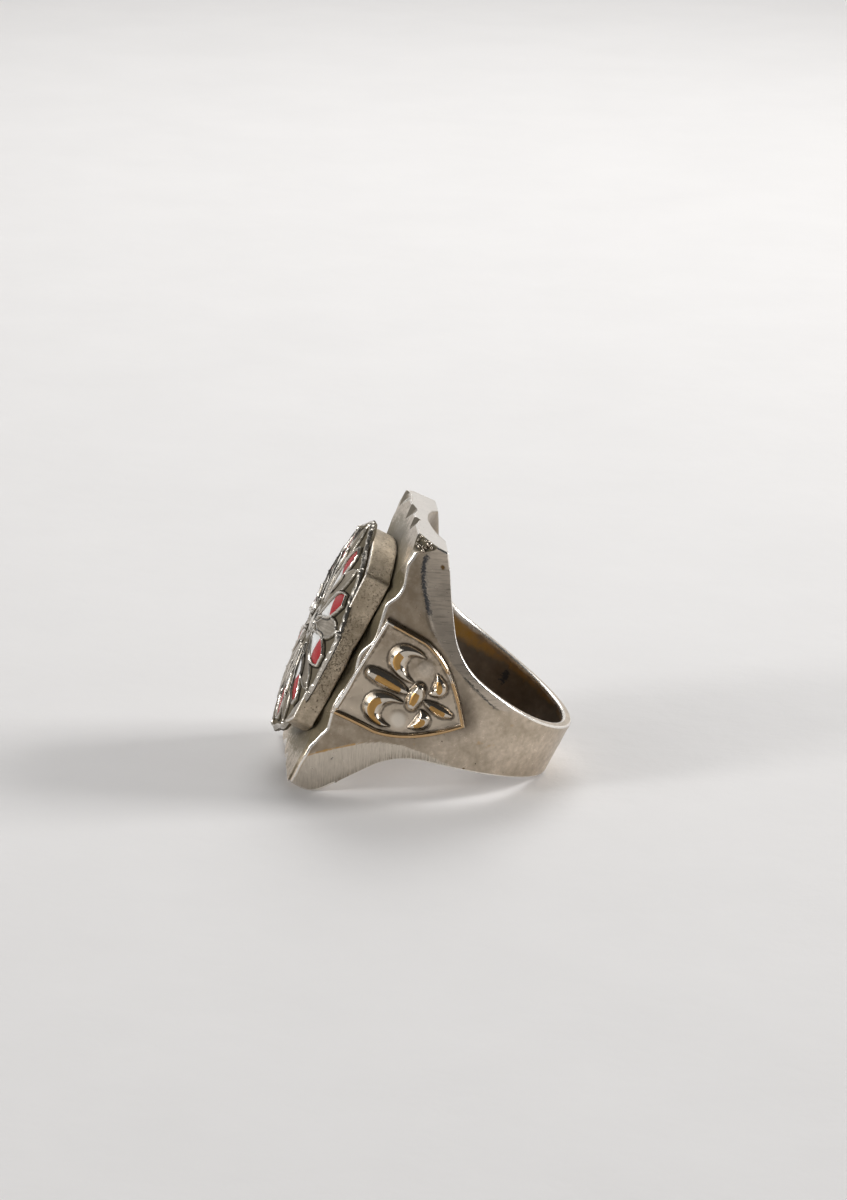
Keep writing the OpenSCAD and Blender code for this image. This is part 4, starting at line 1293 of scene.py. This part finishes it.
class RingShieldSettings(bpy.types.PropertyGroup):
    rim: length("Rim height", "Height of the rounded rim over the field", 0.0004)
    petal: length("Petal height", "Height of the lily's petals over the field", 0.00045)


class RingRiserSettings(bpy.types.PropertyGroup):
    round: length("Worn arris", "How far the riser's arrises are worn back", 0.00012)


class RingRosetteSettings(bpy.types.PropertyGroup):
    wire: length("Wire height", "Height of the wire round each enamelled petal", 0.0002)
    spoon: length("Spoon depth", "Depth of the hollow in each plain petal", 0.00012)
    bead: length("Bead height", "Mean height of the beads along the rim", 0.00014)


class RingFinishSettings(bpy.types.PropertyGroup):
    metal: colour("Metal", "Tone of the clean nickel silver", (0.72, 0.61, 0.49))
    shade: colour("Tarnish", "Tone of the tarnished nickel silver", (0.44, 0.365, 0.275))
    bright: colour("Rubbed metal", "Tone of the rubbed edges", (0.84, 0.8, 0.74))
    brass: colour("Brass", "Tone where the plating is rubbed through", (0.5, 0.29, 0.1))
    grime: colour("Grime", "Tone of the old dirt in the recesses and in the finger hole", (0.1, 0.082, 0.045))
    white: colour("White enamel", "Colour of the inner inlays", (0.83, 0.83, 0.82))
    red: colour("Red enamel", "Colour of the outer inlays", (0.4, 0.008, 0.012))
    roughness: share("Roughness", "Least roughness of the metal", 0.2)


class RingStageSettings(bpy.types.PropertyGroup):
    floor: colour("Floor", "Colour of the plain floor", (0.82, 0.803, 0.792))
    room: colour("Room", "Colour of the light from behind the ring", (0.98, 0.97, 0.96))
    dark: share("Dark side", "Share of that light that comes from the camera's side", 0.11)


def in_mm(settings, *names):
    """The named sizes of a group of settings, in millimetres where they are lengths."""
    return {k: getattr(settings, k) / (1 if k == "bevel_slope" else MM) for k in names}


class RingOperator:
    bl_options = {"REGISTER", "UNDO"}


class RING_OT_casting(RingOperator, bpy.types.Operator):
    """Builds the band and the head as one closed grid of sections"""
    bl_idname = "ring.casting"
    bl_label = "Casting"

    def execute(self, context):
        settings = context.scene.ring_casting
        size = in_mm(settings, "edge_round", "bore_round", "groove", "bevel_slope")
        points, rows, cols = casting_grid(size)
        values = casting_values(points, rows, cols)
        faces = grid_faces(len(rows), len(cols), True, True)
        piece = make_piece("band_casting", to_world(points), [faces], values)
        settle(piece, casting_finish(context.scene.ring_finish), "worn_casting", "band")
        return {"FINISHED"}


class RING_OT_shields(RingOperator, bpy.types.Operator):
    """Builds the shield on each shoulder as a relief over its plan"""
    bl_idname = "ring.shields"
    bl_label = "Shields"

    def execute(self, context):
        size = in_mm(context.scene.ring_shield, "rim", "petal")
        finish = shield_finish(context.scene.ring_finish)
        for name, side in (("shield_near", 1), ("shield_far", -1)):
            settle(shield_mesh(name, side, size), finish, "worn_casting", "band")
        return {"FINISHED"}


class RING_OT_riser(RingOperator, bpy.types.Operator):
    """Builds the riser block under the rosette"""
    bl_idname = "ring.riser"
    bl_label = "Riser"

    def execute(self, context):
        size = in_mm(context.scene.ring_riser, "round")
        settle(riser_mesh(size), riser_finish(context.scene.ring_finish), "riser_metal", "riser")
        return {"FINISHED"}


class RING_OT_rosette(RingOperator, bpy.types.Operator):
    """Builds the domed rosette with its petals, wires and beaded rim"""
    bl_idname = "ring.rosette"
    bl_label = "Rosette"

    def execute(self, context):
        size = in_mm(context.scene.ring_rosette, "wire", "spoon", "bead")
        settle(rosette_mesh(size), rosette_finish(context.scene.ring_finish), "rosette_metal", "rosette")
        return {"FINISHED"}


class RING_OT_enamel(RingOperator, bpy.types.Operator):
    """Builds the white and the red inlays of the enamelled petals"""
    bl_idname = "ring.enamel"
    bl_label = "Enamel"

    def execute(self, context):
        colours = context.scene.ring_finish
        for name, (first, last, seed, dirt) in ENAMELS.items():
            piece = enamel_mesh("enamel_" + name, first, last, seed)
            nodes = [f"enamel_{name}_{k}" for k in range(1, PETALS + 1)]
            finish = enamel_finish(name + "_enamel", getattr(colours, name), dirt)
            settle(piece, finish, name + "_enamel", *nodes)
        return {"FINISHED"}


class RING_OT_beads(RingOperator, bpy.types.Operator):
    """Builds the cluster of small solder beads in the face's near upper corner"""
    bl_idname = "ring.beads"
    bl_label = "Corner beads"

    def execute(self, context):
        u, l, radii = SOLDER.T
        beads = bead_mesh("corner_beads", solder_centres(u, l), radii)
        settle(beads, solder_finish(), "worn_casting")
        return {"FINISHED"}


# The stage

# The photograph's camera: angles in degrees, distance in mm, pixels for a millimetre at the finger axis,
# and the place of that axis in a picture of that many pixels
CAMERA = {"azimuth": -4.3, "elevation": 17.0, "roll": 1.92, "distance": 400.0, "scale": 10.72,
          "centre_px": (458.5, 686.8), "picture_px": (847, 1200)}
SENSOR = 36.0

# The soft lamps: place and target in metres, width and height, and power in watts
MIDDLE = (0, 0, 0.01)
LAMPS = {
    "left_lamp": ((-0.48, -0.19, 0.29), MIDDLE, (0.42, 0.4), 0.75),
    "small_left_lamp": ((-0.52, -0.22, 0.21), MIDDLE, (0.12, 0.12), 1.1),
    "right_lamp": ((0.6, 0.06, 0.34), MIDDLE, (0.22, 0.22), 3.0),
    "low_right_lamp": ((0.62, -0.28, 0.14), MIDDLE, (0.14, 0.14), 0.4),
    "back_lamp": ((0.05, 0.36, 0.36), (0.02, 0.2, 0), (0.3, 0.3), 1.1),
}

# Radius of the floor in metres, and the number of its corners
FLOOR_R, FLOOR_CORNERS = 3, 96


def make_floor(shade):
    """The plain floor, a faintly clouded disc."""
    t = np.linspace(0, math.tau, FLOOR_CORNERS, endpoint=False)
    points = np.stack([FLOOR_R * np.cos(t), FLOOR_R * np.sin(t), 0 * t], -1)
    mesh = bpy.data.meshes.new("floor")
    mesh.from_pydata(points.tolist(), [], [list(range(FLOOR_CORNERS))])
    floor = add_object("floor", mesh)
    f = Finish("plain_floor")
    cloud = f.ramp(f.noise(0.02, 4, 0.6), (0.3, 0.97), (0.7, 1.0))
    tone = f.mix(1.0, shade, cloud, "MULTIPLY")
    f.surface(Base_Color=tone, Roughness=0.7, Normal=f.bump(f.noise(0.004, 4), 0.0003, 0.3))
    mesh.materials.append(f.material)


def make_room(shade, dark):
    """The light of the room: bright behind the ring, dim on the camera's side and almost dark overhead."""
    room = Finish("room", bpy.data.worlds.new("room"), "Generated")
    toward = room.node("ShaderNodeSeparateXYZ", {"Vector": room.place}).outputs
    behind = room.moved(0.5, toward["Y"], 0.5)
    level = room.ramp(behind, (0.45, dark), (0.68, 1.0), interpolation="EASE")
    level = room.mix(room.ramp(toward["Z"], (0.12, 0.0), (0.5, 0.9)), level, 0.045)
    light = room.node("ShaderNodeBackground", {
        "Color": room.mix(1.0, shade, level, "MULTIPLY"), "Strength": 1.0})
    room.node("ShaderNodeOutputWorld", {"Surface": light.outputs[0]})
    bpy.context.scene.world = room.material


def softbox(name, place, target, size, power):
    """A flat lamp of the size (width, height) in metres that faces the target."""
    lamp = bpy.data.lights.new(name, "AREA")
    lamp.shape = "RECTANGLE"
    lamp.size, lamp.size_y = size
    lamp.energy = power
    aim = (Vector(target) - Vector(place)).to_track_quat("-Z", "Y")
    add_object(name, lamp).matrix_world = Matrix.Translation(place) @ aim.to_matrix().to_4x4()


def make_camera():
    """The photograph's camera: turned, raised and rolled by its angles, and moved across the view so that the
    finger axis falls on its place in the picture."""
    azimuth, elevation, roll = (math.radians(CAMERA[k]) for k in ("azimuth", "elevation", "roll"))
    level = math.cos(elevation)
    back = np.array([math.sin(azimuth) * level, -math.cos(azimuth) * level, math.sin(elevation)])
    right = np.array([math.cos(azimuth), math.sin(azimuth), 0])
    up = np.cross(back, right)
    across = right * math.cos(roll) + up * math.sin(roll)
    upward = up * math.cos(roll) - right * math.sin(roll)
    width, height = CAMERA["picture_px"]
    x = (CAMERA["centre_px"][0] - width / 2) / CAMERA["scale"]
    y = (height / 2 - CAMERA["centre_px"][1]) / CAMERA["scale"]
    eye = CENTRE + MM * (CAMERA["distance"] * back - x * across - y * upward)
    camera = add_object("camera", bpy.data.cameras.new("camera"))
    camera.data.sensor_fit = "VERTICAL"
    camera.data.sensor_height = SENSOR
    camera.data.lens = SENSOR * CAMERA["distance"] * CAMERA["scale"] / height
    camera.data.clip_start, camera.data.clip_end = 0.01, 20
    turn = Matrix([[across[i], upward[i], back[i]] for i in range(3)])
    camera.matrix_world = Matrix.Translation(eye) @ turn.to_4x4()
    bpy.context.scene.camera = camera


class RING_OT_stage(RingOperator, bpy.types.Operator):
    """Builds the plain floor, the soft lamps and the photograph's camera"""
    bl_idname = "ring.stage"
    bl_label = "Stage"

    def execute(self, context):
        settings = context.scene.ring_stage
        make_floor(settings.floor)
        make_room(settings.room, settings.dark)
        context.scene.view_settings.view_transform = "Standard"
        for name, lamp in LAMPS.items():
            softbox(name, *lamp)
        make_camera()
        return {"FINISHED"}


class RING_PT_panel(bpy.types.Panel):
    bl_idname = "RING_PT_panel"
    bl_label = "Biker ring"
    bl_space_type = "VIEW_3D"
    bl_region_type = "UI"
    bl_category = "Ring"

    def draw(self, context):
        for group, members, operators in GROUPS:
            box = self.layout.box()
            for member in members:
                box.prop(getattr(context.scene, group), member)
            for operator in operators:
                box.operator(operator)


GROUPS = (
    ("ring_casting", ("edge_round", "bore_round", "groove", "bevel_slope"), ("ring.casting", "ring.beads")),
    ("ring_shield", ("rim", "petal"), ("ring.shields",)),
    ("ring_riser", ("round",), ("ring.riser",)),
    ("ring_rosette", ("wire", "spoon", "bead"), ("ring.rosette", "ring.enamel")),
    ("ring_finish", ("metal", "shade", "bright", "brass", "grime", "white", "red", "roughness"), ()),
    ("ring_stage", ("floor", "room", "dark"), ("ring.stage",)),
)
SETTINGS = {
    "ring_casting": RingCastingSettings, "ring_shield": RingShieldSettings, "ring_riser": RingRiserSettings,
    "ring_rosette": RingRosetteSettings, "ring_finish": RingFinishSettings, "ring_stage": RingStageSettings}
OPERATORS = (
    RING_OT_casting, RING_OT_shields, RING_OT_riser, RING_OT_rosette, RING_OT_enamel, RING_OT_beads,
    RING_OT_stage)


def register():
    for cls in (*SETTINGS.values(), *OPERATORS, RING_PT_panel):
        bpy.utils.register_class(cls)
    for name, cls in SETTINGS.items():
        setattr(bpy.types.Scene, name, PointerProperty(type=cls))


def unregister():
    for name in SETTINGS:
        delattr(bpy.types.Scene, name)
    for cls in (RING_PT_panel, *reversed(OPERATORS), *reversed(SETTINGS.values())):
        bpy.utils.unregister_class(cls)


def main():
    register()
    bpy.ops.ring.stage()
    bpy.ops.ring.casting()
    bpy.ops.ring.shields()
    bpy.ops.ring.riser()
    bpy.ops.ring.rosette()
    bpy.ops.ring.enamel()
    bpy.ops.ring.beads()


if __name__ == "__main__":
    main()
